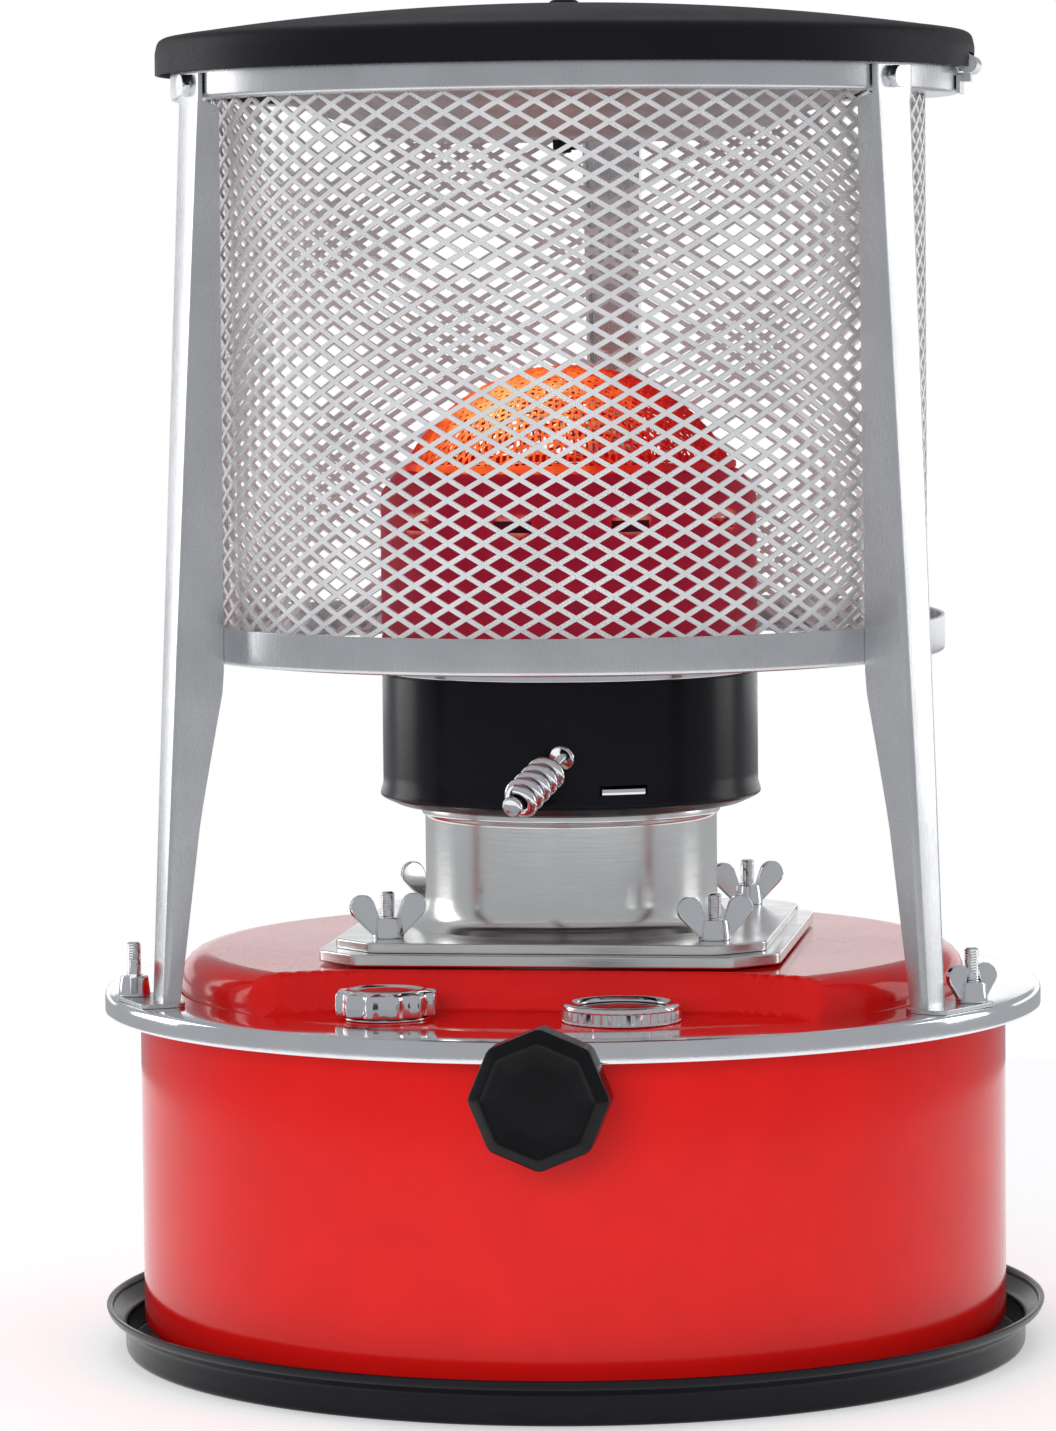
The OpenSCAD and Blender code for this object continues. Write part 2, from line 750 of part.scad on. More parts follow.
module leg(angle) {
    plate_side = foot_side(angle);
    plate_l = 34;
    rotate([0, 0, angle]) difference() {
        union() {
            difference() {
                intersection() {
                    rotate([90, 0, 0]) linear_extrude(height = 40, center = true) leg_profile();
                    leg_taper(0);
                }
                intersection() {
                    rotate([90, 0, 0]) linear_extrude(height = 40, center = true) leg_hollow();
                    leg_taper(leg_t);
                }
            }
            translate([lower_ring_r + 0.02, -7.5, lower_ring_z]) cube([leg_t, 15, 13]);
            translate([145, plate_side > 0 ? -9 : 9 - plate_l, leg_foot_z]) cube([16, plate_l, foot_t]);
        }
        along_x(2 + slip_gap, 110, 140, lower_ring_z + 6.5, 24);
        along_x(2 + slip_gap, 120, 160, bolt_z, 24);
        translate([foot_r, plate_side * foot_stud_offset, 100]) cylinder(r = 2.5 + slip_gap, h = 60, $fn = 24);
    }
}

module leg_left() {
    color("#9b9ea1") leg(210);
}

module leg_right() {
    color("#9b9ea1") leg(330);
}

module leg_back() {
    color("#9b9ea1") leg(90);
}

// Radial screws that hold the legs to the lower ring, each with its nut inside the ring
module ring_screws() {
    z = lower_ring_z + 6.5;
    head_x = lower_ring_r + 0.02 + leg_t;
    color("#d9dcdd")
    for (a = leg_angles) rotate([0, 0, a]) {
        along_x(2, mesh_r + 1.4, head_x + 1, z, 24);
        along_x(3.6, head_x, head_x + 2.2, z, 24);
        along_x(3.4, mesh_r + 2, lower_ring_r - ring_t - 0.1, z, 6);
    }
}

// Radial bolts that hold the legs to the upper ring
module leg_bolts() {
    color("#d9dcdd")
    for (a = leg_angles) rotate([0, 0, a]) {
        along_x(2, 128, leg_top_r + 1, bolt_z, 24);
        along_x(4.2, leg_top_r, leg_top_r + 3, bolt_z, 6);
        along_x(3, 130, upper_ring_r - ring_t - 0.1, bolt_z, 6);
    }
}

module foot_studs() {
    color("#c9cccd")
    at_foot_studs() translate([0, 0, collar_z1]) cylinder(r = 2.5, h = 20, $fn = 24);
}

module foot_wing_nuts() {
    color("#d9dcdd")
    at_foot_studs() translate([0, 0, leg_foot_z + foot_t]) rotate([0, 0, 70]) wing_nut(5, 20, 13);
}

// ---------- lid ----------

// Height of the lid's outer face at a distance from the axis
function lid_height(r) = lid_seat_z + lid_t + (lid_top_z - lid_seat_z - lid_t) * (1 - pow(r / lid_shoulder_r, 2));

module lid() {
    steps = 10;
    color("#1a1a1c")
    difference() {
        rotate_extrude()
        polygon(concat([for (i = [0 : steps]) let (r = lid_shoulder_r * i / steps) [r, lid_height(r)]],
                       arc(lid_r - 4.6, lid_seat_z + lid_t - 4.6, 4.6, 82, 0, 6),
                       [[lid_r, lid_z0], [lid_r - ring_t, lid_z0], [lid_r - ring_t, lid_seat_z - 3],
                        [lid_shoulder_r + 1, lid_seat_z], [lid_shoulder_r - 2, lid_seat_z]],
                       [for (i = [steps - 1 : -1 : 0]) let (r = lid_shoulder_r * i / steps) [r, lid_height(r) - lid_t]]));
        translate([lid_r - 6, -15, lid_z0 - 1]) cube([10, 30, 6]);
        translate([0, 0, lid_seat_z]) cylinder(r = 2.6, h = 30, $fn = 24);
    }
}

module knuckle(y0, y1, bore_r) {
    translate([hinge_x, y1, hinge_z]) rotate([90, 0, 0]) difference() {
        cylinder(r = knuckle_r, h = y1 - y0, $fn = 32);
        translate([0, 0, -1]) cylinder(r = bore_r, h = y1 - y0 + 2, $fn = 32);
    }
}

module hinge_bracket() {
    color("#9b9ea1")
    difference() {
        union() {
            translate([upper_ring_r + 0.02, -12, upper_ring_z]) cube([1.2, 24, 6]);
            translate([upper_ring_r + 0.02, -4.8, upper_ring_z + 4]) cube([4.4, 9.6, 3]);
            translate([hinge_x, 4.8, hinge_z]) rotate([90, 0, 0]) cylinder(r = knuckle_r, h = 9.6, $fn = 32);
        }
        translate([hinge_x, 0, hinge_z]) rotate([90, 0, 0])
            cylinder(r = 1.5 + running_gap, h = 40, center = true, $fn = 32);
    }
}

module hinge_leaf() {
    color("#9b9ea1")
    difference() {
        for (side = [-1, 1]) {
            y0 = side > 0 ? 5 : -14;
            knuckle(y0, y0 + 9, 1);
            translate([138.15, y0, hinge_z + 1]) cube([1.2, 9, lid_seat_z - 4.1 - hinge_z]);
        }
        translate([hinge_x, 0, hinge_z]) rotate([90, 0, 0])
            cylinder(r = 1.5 + 0.01, h = 40, center = true, $fn = 32);
    }
}

module hinge_pin() {
    color("#c9cccd")
    translate([hinge_x, 0, hinge_z]) rotate([90, 0, 0]) cylinder(r = 1.5, h = 30, center = true, $fn = 32);
}

module heat_deflector() {
    dish_r = 103;
    dish_rise = 15;
    color("#9fa2a4")
    difference() {
        rotate_extrude()
        polygon([[0, deflector_z], [deflector_r, deflector_z], [dish_r, deflector_z + dish_rise],
                 [dish_r, deflector_z + dish_rise + 1.6], [dish_r - 1, deflector_z + dish_rise + 1.6],
                 [dish_r - 1, deflector_z + dish_rise + 0.8], [deflector_r - 0.4, deflector_z + 1], [0, deflector_z + 1]]);
        translate([0, 0, deflector_z - 1]) cylinder(r = 2.6, h = 5, $fn = 24);
    }
}

module deflector_spacer() {
    color("#b4b7b9")
    tube(5, 2.7, deflector_z + 1, lid_top_z - lid_t - 0.05);
}

module deflector_bolt() {
    color("#c9cccd")
    union() {
        translate([0, 0, deflector_z - 5]) cylinder(r = 2.5, h = lid_top_z - deflector_z + 5.5, $fn = 24);
        translate([0, 0, deflector_z - 4]) cylinder(r = 4.6, h = 4, $fn = 6);
        translate([0, 0, lid_top_z]) cylinder(r1 = 6, r2 = 3.5, h = 2, $fn = 48);
    }
}

drip_tray();
tank_spacers();
tank_shell();
tank_top();
draught_tube();
collar_ring();
filler_neck();
fuel_strainer();
filler_cap();
cap_gasket();
gauge_body();
gauge_bezel();
gauge_dial();
gauge_needle();
gauge_glass();
float_arm();
float();
throat_gasket();
throat();
throat_studs();
throat_wing_nuts();
wick_guide();
wick_carrier();
wicks();
wick_shaft();
pinion();
shaft_bracket();
shaft_bush();
gland_nut();
knob();
knob_grub_screw();
burner_collar();
burner_rim();
inner_flame_cylinder();
outer_flame_cylinder();
flame_spreader();
burner_pin();
dome_mesh();
handle_rod();
handle_coil();
lower_ring();
upper_ring();
guard_mesh();
leg_left();
leg_right();
leg_back();
ring_screws();
leg_bolts();
foot_studs();
foot_wing_nuts();
lid();
hinge_bracket();
hinge_leaf();
hinge_pin();
heat_deflector();
deflector_spacer();
deflector_bolt();
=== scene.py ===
"""The looks of a kerosene heater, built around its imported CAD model.

Shapes are written in millimetres in the CAD's own frame: +Z up, the wick knob faces -Y, and the
heater's axis is x = y = 0. Each piece stands for a CAD node and rides on that node's body.
"""
import json
import math

import bmesh
import bpy
from mathutils import Matrix, Vector


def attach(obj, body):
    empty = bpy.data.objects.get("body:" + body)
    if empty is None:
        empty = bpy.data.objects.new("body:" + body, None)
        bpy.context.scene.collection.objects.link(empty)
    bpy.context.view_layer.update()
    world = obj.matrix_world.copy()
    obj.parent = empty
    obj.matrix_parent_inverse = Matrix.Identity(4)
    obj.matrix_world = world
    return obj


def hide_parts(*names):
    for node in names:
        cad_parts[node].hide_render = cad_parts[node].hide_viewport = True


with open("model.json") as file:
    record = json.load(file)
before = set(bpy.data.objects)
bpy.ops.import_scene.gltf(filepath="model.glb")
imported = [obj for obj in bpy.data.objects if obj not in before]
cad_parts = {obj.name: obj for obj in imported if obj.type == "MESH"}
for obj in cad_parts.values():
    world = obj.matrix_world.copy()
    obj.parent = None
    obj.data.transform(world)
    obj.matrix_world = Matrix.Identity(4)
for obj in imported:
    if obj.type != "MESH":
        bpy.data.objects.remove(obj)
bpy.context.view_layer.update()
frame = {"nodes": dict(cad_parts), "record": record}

RECORD = frame["record"]
BODY_OF = {node: body for body, nodes in RECORD["behaviour"]["bodies"].items() for node in nodes}
SLOT_OF = {part["node"]: part["material_slot"] for part in RECORD["subparts"]}
MM = 0.001
TAU = 2 * math.pi

# Places around the axis, as degrees and millimetres from it
CAP_PLACE = (245, 116)
GAUGE_PLACE = (285.7, 112)
# Each leg's name, its angle in degrees, and the side its foot plate reaches to
LEGS = (("leg_back", 90, 1), ("leg_left", 210, -1), ("leg_right", 330, 1))
# Slots in the glowing cylinder: how many, where the first starts, their heights in millimetres
# and the share of the ring that they open
FLAME_SLOTS = 10
FIRST_FLAME_SLOT = 254.3
FLAME_SLOT_LOW, FLAME_SLOT_HIGH = 286.5, 290.5
FLAME_SLOT_SHARE = 0.333


# ---------- camera ----------

def make_camera():
    """A long lens at the photograph's viewing angle, a little to the right of the knob."""
    azimuth, yaw_left, tilt_down, roll_right = 7.4, 0.405, 4.47, 0.54
    distance, height = 2.079, 0.3825
    data = bpy.data.cameras.new("camera")
    data.lens = 150.6
    data.sensor_width = 36
    data.clip_end = 60
    camera = bpy.data.objects.new("camera", data)
    bpy.context.scene.collection.objects.link(camera)
    around = math.radians(azimuth)
    place = Matrix.Translation((distance * math.sin(around), -distance * math.cos(around), height))
    turn = Matrix.Rotation(around + math.radians(yaw_left), 4, "Z")
    tilt = Matrix.Rotation(math.radians(90 - tilt_down), 4, "X")
    roll = Matrix.Rotation(math.radians(-roll_right), 4, "Z")
    camera.matrix_world = place @ turn @ tilt @ roll
    bpy.context.scene.camera = camera


make_camera()


# ---------- materials ----------

def add_node(tree, kind, inputs=None, **settings):
    """Adds a shader node. An input's value is a number, a colour, or another node's output."""
    made = tree.nodes.new("ShaderNode" + kind)
    for key, value in settings.items():
        setattr(made, key, value)
    for key, value in (inputs or {}).items():
        if isinstance(value, bpy.types.NodeSocket):
            tree.links.new(value, made.inputs[key])
        else:
            made.inputs[key].default_value = value
    return made


def rgba(colour):
    return (*colour, 1.0)


def scaled(colour, factor):
    return rgba([min(1.0, channel * factor) for channel in colour])


def ramp(tree, value, stops):
    """A colour ramp over (position, colour) stops."""
    made = add_node(tree, "ValToRGB", {"Fac": value})
    elements = made.color_ramp.elements
    while len(elements) < len(stops):
        elements.new(0.5)
    for element, (position, colour) in zip(elements, stops):
        element.position = position
        element.color = rgba(colour)
    return made.outputs["Color"]


def noise(tree, place, scale, detail=3.0):
    return add_node(tree, "TexNoise", {"Vector": place, "Scale": scale, "Detail": detail}).outputs["Fac"]


def spread(tree, value, low, high):
    """Noise values, which lie near the middle, stretched to run from low to high."""
    limits = {"Value": value, "From Min": 0.3, "From Max": 0.7, "To Min": low, "To Max": high}
    return add_node(tree, "MapRange", limits).outputs["Result"]


def mix_colours(tree, factor, first, second):
    made = add_node(tree, "Mix", {0: factor, 6: first, 7: second}, data_type="RGBA")
    return made.outputs[2]


def finish(name, colour, metallic=0.0, roughness=0.3, rough_spread=0.08, tint=0.08, grain=900.0,
           bump=0.05, stretch=(1, 1, 1), paint=None, **shader):
    """A surface with mottled colour, uneven gloss and fine grain.

    grain is how many grains there are to a metre, and stretch below 1 draws them out along that
    axis, as brushing or turning does. paint(tree, place, colour) may change the colour."""
    patch_scale, smudge_scale, grain_depth = 45.0, 18.0, 0.0004
    material = bpy.data.materials.new(name)
    material.use_nodes = True
    tree = material.node_tree
    tree.nodes.clear()
    place = add_node(tree, "TexCoord").outputs["Object"]
    drawn = add_node(tree, "Mapping", {"Vector": place, "Scale": stretch}).outputs["Vector"]
    patches = spread(tree, noise(tree, place, patch_scale, 5.0), 0.0, 1.0)
    base = mix_colours(tree, patches, scaled(colour, 1 - tint), scaled(colour, 1 + tint))
    if paint:
        base = paint(tree, place, base)
    grains = noise(tree, drawn, grain, 4.0)
    smudges = spread(tree, noise(tree, place, smudge_scale, 6.0), -0.5, 0.5)
    fine = spread(tree, grains, -0.5, 0.5)
    uneven = add_node(tree, "Math", {0: smudges, 1: fine}, operation="ADD").outputs[0]
    gloss = add_node(tree, "Math", {0: uneven, 1: rough_spread, 2: roughness}, operation="MULTIPLY_ADD",
                     use_clamp=True).outputs[0]
    relief = add_node(tree, "Bump", {"Height": grains, "Strength": bump, "Distance": grain_depth})
    values = {"Base Color": base, "Metallic": metallic, "Roughness": gloss, "Normal": relief.outputs[0]}
    values.update({key.replace("_", " "): value for key, value in shader.items()})
    shaded = add_node(tree, "BsdfPrincipled", values)
    add_node(tree, "OutputMaterial", {"Surface": shaded.outputs[0]})
    return material


def height_of(tree, place, low, high):
    """How far up a point is between two heights in metres, from 0 to 1."""
    z = add_node(tree, "SeparateXYZ", {"Vector": place}).outputs["Z"]
    return add_node(tree, "MapRange", {"Value": z, "From Min": low, "From Max": high}).outputs["Result"]


def nearness(tree, place, centre, reach):
    """1 at a point of the heater, falling to 0 at a distance of reach metres from it."""
    gap = add_node(tree, "VectorMath", {0: place, 1: centre}, operation="DISTANCE").outputs["Value"]
    limits = {"Value": gap, "From Min": 0.0, "From Max": reach, "To Min": 1.0, "To Max": 0.0}
    return add_node(tree, "MapRange", limits).outputs["Result"]


def charred_tips(tree, place, base):
    """Cotton that has burned black at the top of the wicks."""
    burned = height_of(tree, place, 0.168, 0.173)
    return mix_colours(tree, burned, base, rgba((0.03, 0.025, 0.02)))


def temper_colours(tree, place, base):
    """Straw, purple and blue bands, as steel takes near a flame."""
    high = height_of(tree, place, 0.19, 0.31)
    wavy = add_node(tree, "Math", {0: noise(tree, place, 60.0), 1: 0.35, 2: high}, operation="MULTIPLY_ADD")
    bands = ramp(tree, wavy.outputs[0], [(0.2, (0.32, 0.3, 0.28)), (0.45, (0.45, 0.3, 0.12)),
                                         (0.7, (0.25, 0.1, 0.2)), (0.95, (0.12, 0.14, 0.3))])
    return mix_colours(tree, 0.7, base, bands)


def zinc_spangle(tree, place, base):
    """The faint flakes of a hot-dipped sheet."""
    flakes = add_node(tree, "TexVoronoi", {"Vector": place, "Scale": 160.0}).outputs["Color"]
    grey = add_node(tree, "RGBToBW", {"Color": flakes}).outputs[0]
    pale = add_node(tree, "MapRange", {"Value": grey, "To Min": 0.0, "To Max": 0.35}).outputs["Result"]
    return mix_colours(tree, pale, base, rgba((0.9, 0.91, 0.92)))


def cork_grain(tree, place, base):
    cells = add_node(tree, "TexVoronoi", {"Vector": place, "Scale": 520.0}).outputs["Distance"]
    dark = add_node(tree, "MapRange", {"Value": cells, "From Max": 0.5}).outputs["Result"]
    return mix_colours(tree, dark, rgba((0.22, 0.12, 0.05)), base)


def painted_slot_highlights(tree, place):
    """Painted highlights: brighter glow painted round the slots of the outer flame cylinder."""
    middle_z, half_slot = 0.289, 6
    spot = add_node(tree, "SeparateXYZ", {"Vector": place}).outputs
    angle = add_node(tree, "Math", {0: spot["Y"], 1: spot["X"]}, operation="ARCTAN2").outputs[0]
    turned_round = {0: angle, 1: FLAME_SLOTS, 2: -FLAME_SLOTS * math.radians(FIRST_FLAME_SLOT + half_slot)}
    turns = add_node(tree, "Math", turned_round, operation="MULTIPLY_ADD").outputs[0]
    wave = add_node(tree, "Math", {0: turns}, operation="COSINE").outputs[0]
    around = add_node(tree, "MapRange", {"Value": wave, "From Min": 0.1, "From Max": 0.8}).outputs["Result"]
    off = add_node(tree, "Math", {0: spot["Z"], 1: middle_z}, operation="SUBTRACT").outputs[0]
    gap = add_node(tree, "Math", {0: off}, operation="ABSOLUTE").outputs[0]
    level = {"Value": gap, "From Min": 0.002, "From Max": 0.006, "To Min": 0.55, "To Max": 0.0}
    close = add_node(tree, "MapRange", level).outputs["Result"]
    return add_node(tree, "Math", {0: around, 1: close}, operation="MULTIPLY").outputs[0]


def hot_finish(name, colour, stops, centre, reach, strength, patches=None):
    """Metal that glows: hottest at the centre, with an uneven edge to the heat and any painted highlight
    patches.
    """
    material = finish(name, colour, roughness=0.55, grain=1500.0, bump=0.2, Specular_IOR_Level=0.2)
    tree = material.node_tree
    place = add_node(tree, "TexCoord").outputs["Object"]
    near = nearness(tree, place, centre, reach)
    flicker = spread(tree, noise(tree, place, 130.0, 6.0), -0.14, 0.14)
    heat = add_node(tree, "Math", {0: near, 1: flicker}, operation="ADD").outputs[0]
    # patches adds painted highlights to the glow
    if patches:
        heat = add_node(tree, "Math", {0: heat, 1: patches(tree, place)}, operation="ADD").outputs[0]
    shaded = next(node for node in tree.nodes if node.type == "BSDF_PRINCIPLED")
    tree.links.new(ramp(tree, heat, stops), shaded.inputs["Emission Color"])
    shaded.inputs["Emission Strength"].default_value = strength
    return material


MATERIALS = {
    "black_enamel": finish("black_enamel", (0.006, 0.006, 0.009), roughness=0.22, rough_spread=0.07,
                           grain=700.0, bump=0.03, Specular_IOR_Level=0.17),
    "lid_enamel": finish("lid_enamel", (0.006, 0.006, 0.009), roughness=0.5, rough_spread=0.1,
                         grain=900.0, bump=0.05, Specular_IOR_Level=0.2),
    "red_enamel": finish("red_enamel", (0.78, 0.010, 0.008), roughness=0.12, rough_spread=0.05,
                         tint=0.04, grain=420.0, bump=0.02, Specular_IOR_Level=0.25),
    "chrome_plate": finish("chrome_plate", (0.86, 0.87, 0.88), metallic=1.0, roughness=0.1,
                           rough_spread=0.06, tint=0.03, grain=1600.0, bump=0.02),
    "zinc_steel": finish("zinc_steel", (0.74, 0.75, 0.76), metallic=1.0, roughness=0.28, rough_spread=0.08,
                         tint=0.06, grain=2600.0, bump=0.04, stretch=(1, 1, 0.04)),
    "mesh_wire": finish("mesh_wire", (0.92, 0.92, 0.92), metallic=0.35, roughness=0.3, grain=2400.0,
                        bump=0.15),
    "aluminised_steel": finish("aluminised_steel", (0.42, 0.43, 0.44), metallic=0.5, roughness=0.5,
                               rough_spread=0.16, bump=0.15, paint=zinc_spangle),
    "cast_aluminium": finish("cast_aluminium", (0.86, 0.86, 0.84), metallic=1.0, roughness=0.2,
                             rough_spread=0.06, tint=0.04, grain=2200.0, bump=0.03,
                             stretch=(0.03, 0.03, 1)),
    "brass": finish("brass", (0.66, 0.46, 0.17), metallic=1.0, roughness=0.26, rough_spread=0.2,
                    grain=1800.0, bump=0.12),
    "knob_plastic": finish("knob_plastic", (0.004, 0.004, 0.005), roughness=0.2, rough_spread=0.12,
                           tint=0.3, grain=1500.0, bump=0.03, Specular_IOR_Level=0.2),
    # hot_steel's patches are painted highlights round its slots, added to its glow
    "hot_steel": hot_finish("hot_steel", (0.11, 0.006, 0.012),
                            [(0.0, (0.20, 0.0, 0.015)), (0.45, (0.42, 0.0, 0.03)),
                             (0.8, (0.62, 0.012, 0.03)), (1.0, (1.0, 0.30, 0.22))],
                            centre=(0.0, 0.0, 0.325), reach=0.15, strength=0.4, patches=painted_slot_highlights),
    "hot_mesh": hot_finish("hot_mesh", (0.18, 0.02, 0.01),
                           [(0.0, (0.25, 0.0, 0.005)), (0.3, (0.5, 0.01, 0.005)),
                            (0.6, (0.95, 0.14, 0.02)), (0.95, (1.0, 0.55, 0.16))],
                           centre=(-0.018, -0.036, 0.334), reach=0.07, strength=0.95),
    "heat_stained_steel": finish("heat_stained_steel", (0.34, 0.24, 0.18), metallic=1.0, roughness=0.4,
                                 rough_spread=0.2, bump=0.15, paint=temper_colours),
    "gauge_lens": finish("gauge_lens", (0.30, 0.34, 0.36), roughness=0.03, rough_spread=0.03, grain=300.0,
                         bump=0.01, Transmission_Weight=0.9, IOR=1.5),
    "dial_face": finish("dial_face", (0.035, 0.036, 0.04), roughness=0.5, bump=0.08),
    "needle_red": finish("needle_red", (0.8, 0.07, 0.03), roughness=0.35, bump=0.03),
    "gasket_rubber": finish("gasket_rubber", (0.03, 0.03, 0.03), roughness=0.75, grain=1400.0, bump=0.3),
    "gasket_fibre": finish("gasket_fibre", (0.42, 0.38, 0.31), roughness=0.9, tint=0.25, grain=1300.0,
                           bump=0.6, stretch=(1, 0.2, 1)),
    "wick_cotton": finish("wick_cotton", (0.80, 0.76, 0.66), roughness=0.95, tint=0.12, grain=2200.0,
                          bump=0.6, paint=charred_tips),
    "float_cork": finish("float_cork", (0.58, 0.38, 0.20), roughness=0.85, tint=0.25, grain=900.0,
                         bump=0.5, paint=cork_grain),
}


# ---------- shapes ----------
# A shape is (vertices, faces), in millimetres.

def joined(*shapes):
    """Several shapes as one."""
    vertices, faces = [], []
    for more_vertices, more_faces in shapes:
        first = len(vertices)
        vertices += more_vertices
        faces += [[first + i for i in face] for face in more_faces]
    return vertices, faces


def moved(shape, matrix):
    vertices, faces = shape
    return [matrix @ vertex for vertex in vertices], faces


def turned(degrees, axis="Z"):
    return Matrix.Rotation(math.radians(degrees), 4, axis)


def shifted(x, y, z):
    return Matrix.Translation((x, y, z))


def polar(degrees, radius):
    """A frame at an angle and a distance from the heater's axis, whose +X points outwards."""
    return turned(degrees) @ shifted(radius, 0, 0)


def rounded(points, radius, steps=3):
    """An outline with its corners rounded. A point may give its own radius as a third number.

    The outline is closed if its last point repeats its first; otherwise both ends stay sharp."""
    closed = tuple(points[0][:2]) == tuple(points[-1][:2])
    corners = points[:-1] if closed else points
    outline = []
    for i, corner in enumerate(corners):
        here = Vector(corner[:2])
        size = corner[2] if len(corner) > 2 else radius
        at_end = not closed and i in (0, len(corners) - 1)
        if size == 0 or at_end:
            outline.append(tuple(here))
            continue
        back = Vector(corners[i - 1][:2]) - here
        ahead = Vector(corners[(i + 1) % len(corners)][:2]) - here
        start = here + back.normalized() * min(size, 0.45 * back.length)
        end = here + ahead.normalized() * min(size, 0.45 * ahead.length)
        for step in range(steps + 1):
            t = step / steps
            outline.append(tuple(start * (1 - t) ** 2 + here * 2 * t * (1 - t) + end * t * t))
    return outline + [outline[0]] if closed else outline


def grid(rows, around=False, keep=None):
    """Quads through rows of points. around joins the last row to the first."""
    count, width = len(rows), len(rows[0])
    vertices = [Vector(point) for row in rows for point in row]
    faces = []
    for i in range(count if around else count - 1):
        for j in range(width - 1):
            after = (i + 1) % count
            face = [i * width + j, after * width + j, after * width + j + 1, i * width + j + 1]
            if keep is None or keep([vertices[k] for k in face]):
                faces.append(face)
    return vertices, faces


def middle_of(corners):
    """The middle of a face's four corners."""
    return [sum(corner[i] for corner in corners) / 4 for i in range(3)]


def lathe(outline, sides, shape=None, start=0.0, keep=None):
    """An outline of (radius, height) pairs turned about Z. shape(angle, radius, height) may bend it."""
    rows = []
    for i in range(sides):
        angle = start + TAU * i / sides
        row = []
        for radius, height in outline:
            bent = shape(angle, radius, height) if shape else radius
            row.append((bent * math.cos(angle), bent * math.sin(angle), height))
        rows.append(row)
    return grid(rows, around=True, keep=keep)


def prism(outline, low, high):
    """A flat outline of (x, y) pairs, without its last point repeated, raised from low to high."""
    count = len(outline)
    vertices = [Vector((x, y, z)) for z in (low, high) for x, y in outline]
    sides = [[i, (i + 1) % count, count + (i + 1) % count, count + i] for i in range(count)]
    return vertices, [list(range(count))[::-1], list(range(count, 2 * count))] + sides


def rounded_prism(points, low, high, radius):
    return prism(rounded(points + [points[0]], radius, 5)[:-1], low, high)


def upright(outline, thickness):
    """A plate that stands in the XZ plane, from an outline of (x, z) pairs."""
    return moved(prism(outline, -thickness / 2, thickness / 2), turned(90, "X"))


def wire(path, radius, sides):
    """A round wire along a path of points, closed at both ends."""
    rows = []
    points = [Vector(point) for point in path]
    for i, point in enumerate(points):
        ahead = points[min(i + 1, len(points) - 1)] - points[max(i - 1, 0)]
        upright_part = abs(ahead.normalized().z) > 0.95
        side = ahead.cross(Vector((1, 0, 0)) if upright_part else Vector((0, 0, 1))).normalized()
        up = side.cross(ahead).normalized()
        ring = [point + radius * (side * math.cos(TAU * k / sides) + up * math.sin(TAU * k / sides))
                for k in range(sides)]
        rows.append(ring + [ring[0]])
    vertices, faces = grid(rows)
    last = (len(rows) - 1) * (sides + 1)
    return vertices, faces + [list(range(sides))[::-1], [last + k for k in range(sides)]]


def threaded_rod(radius, low, high):
    """A screw thread with chamfered ends."""
    pitch, depth = 0.9, 0.35
    steps = int((high - low) / pitch * 4)
    outline = [(0, low), (radius - 0.8, low)]
    outline += [(radius, low + 0.6 + (high - low - 1.2) * i / steps) for i in range(steps + 1)]
    outline += [(radius - 0.8, high), (0, high)]

    def ridge(angle, at_radius, height):
        phase = (height / pitch - angle / TAU) % 1
        return at_radius - depth * abs(2 * phase - 1) if at_radius == radius else at_radius

    return lathe(outline, 20, ridge)


def hexagon(size, low, high):
    """A nut or bolt head with its corners turned off, size across the corners."""
    outline = [(0, low), (size * 0.43, low), (size * 0.5, low + 0.5), (size * 0.5, high - 0.6),
               (size * 0.43, high), (0, high)]

    def flats(angle, radius, height):
        turn = (angle + math.pi / 6) % (math.pi / 3) - math.pi / 6
        return min(radius, size * 0.433 / math.cos(turn))

    return lathe(outline, 36, flats)


def wing_nut(span, height, bore):
    """A cast wing nut that stands on z = 0, its wings along X."""
    hub = lathe(rounded([(bore, 0), (5.6, 0), (4.7, 7), (bore, 7), (bore, 0)], 0.6), 32)
    lobe = 4.4
    tip_x, tip_z = span / 2 - lobe, height - lobe
    arc = [(tip_x + lobe * math.cos(math.radians(a)), tip_z + lobe * math.sin(math.radians(a)))
           for a in range(-50, 151, 20)]
    wing = upright([(3.0, 1.0), (5.6, 1.0)] + arc + [(3.0, 6.4)], 2.6)
    return joined(hub, wing, moved(wing, turned(180)))


# ---------- pieces ----------

def shade_smooth(mesh, angle):
    mesh.shade_smooth()
    mesh.set_sharp_from_angle(angle=math.radians(angle))


def add_modifier(item, kind, **settings):
    modifier = item.modifiers.new(kind.lower(), kind)
    for key, value in settings.items():
        setattr(modifier, key, value)


def add_piece(name, shape, node=None, body=None, slot=None, look=None, wall=0.0, bevel=0.25, smooth=35):
    """Makes a piece in millimetres. It stands for a CAD node, or rides on a body as an extra.

    wall gives an open surface a thickness, inwards; bevel rounds its edges; look is a finish other
    than its slot's own."""
    body = body or BODY_OF[node]
    slot = slot or SLOT_OF[node]
    vertices, faces = shape
    mesh = bpy.data.meshes.new(name)
    mesh.from_pydata([vertex * MM for vertex in vertices], [], faces)
    work = bmesh.new()
    work.from_mesh(mesh)
    bmesh.ops.remove_doubles(work, verts=work.verts, dist=1e-6)
    bmesh.ops.recalc_face_normals(work, faces=work.faces)
    work.to_mesh(mesh)
    work.free()
    shade_smooth(mesh, smooth)
    mesh.materials.append(MATERIALS[look or slot])
    item = bpy.data.objects.new(name, mesh)
    bpy.context.scene.collection.objects.link(item)
    if wall:
        add_modifier(item, "SOLIDIFY", thickness=wall * MM, offset=-1)
    if bevel:
        add_modifier(item, "BEVEL", width=bevel * MM, segments=2, limit_method="ANGLE",
                     angle_limit=math.radians(smooth), harden_normals=True)
    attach(item, body)
    if node:
        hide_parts(node)


# ---------- drip tray and tank ----------

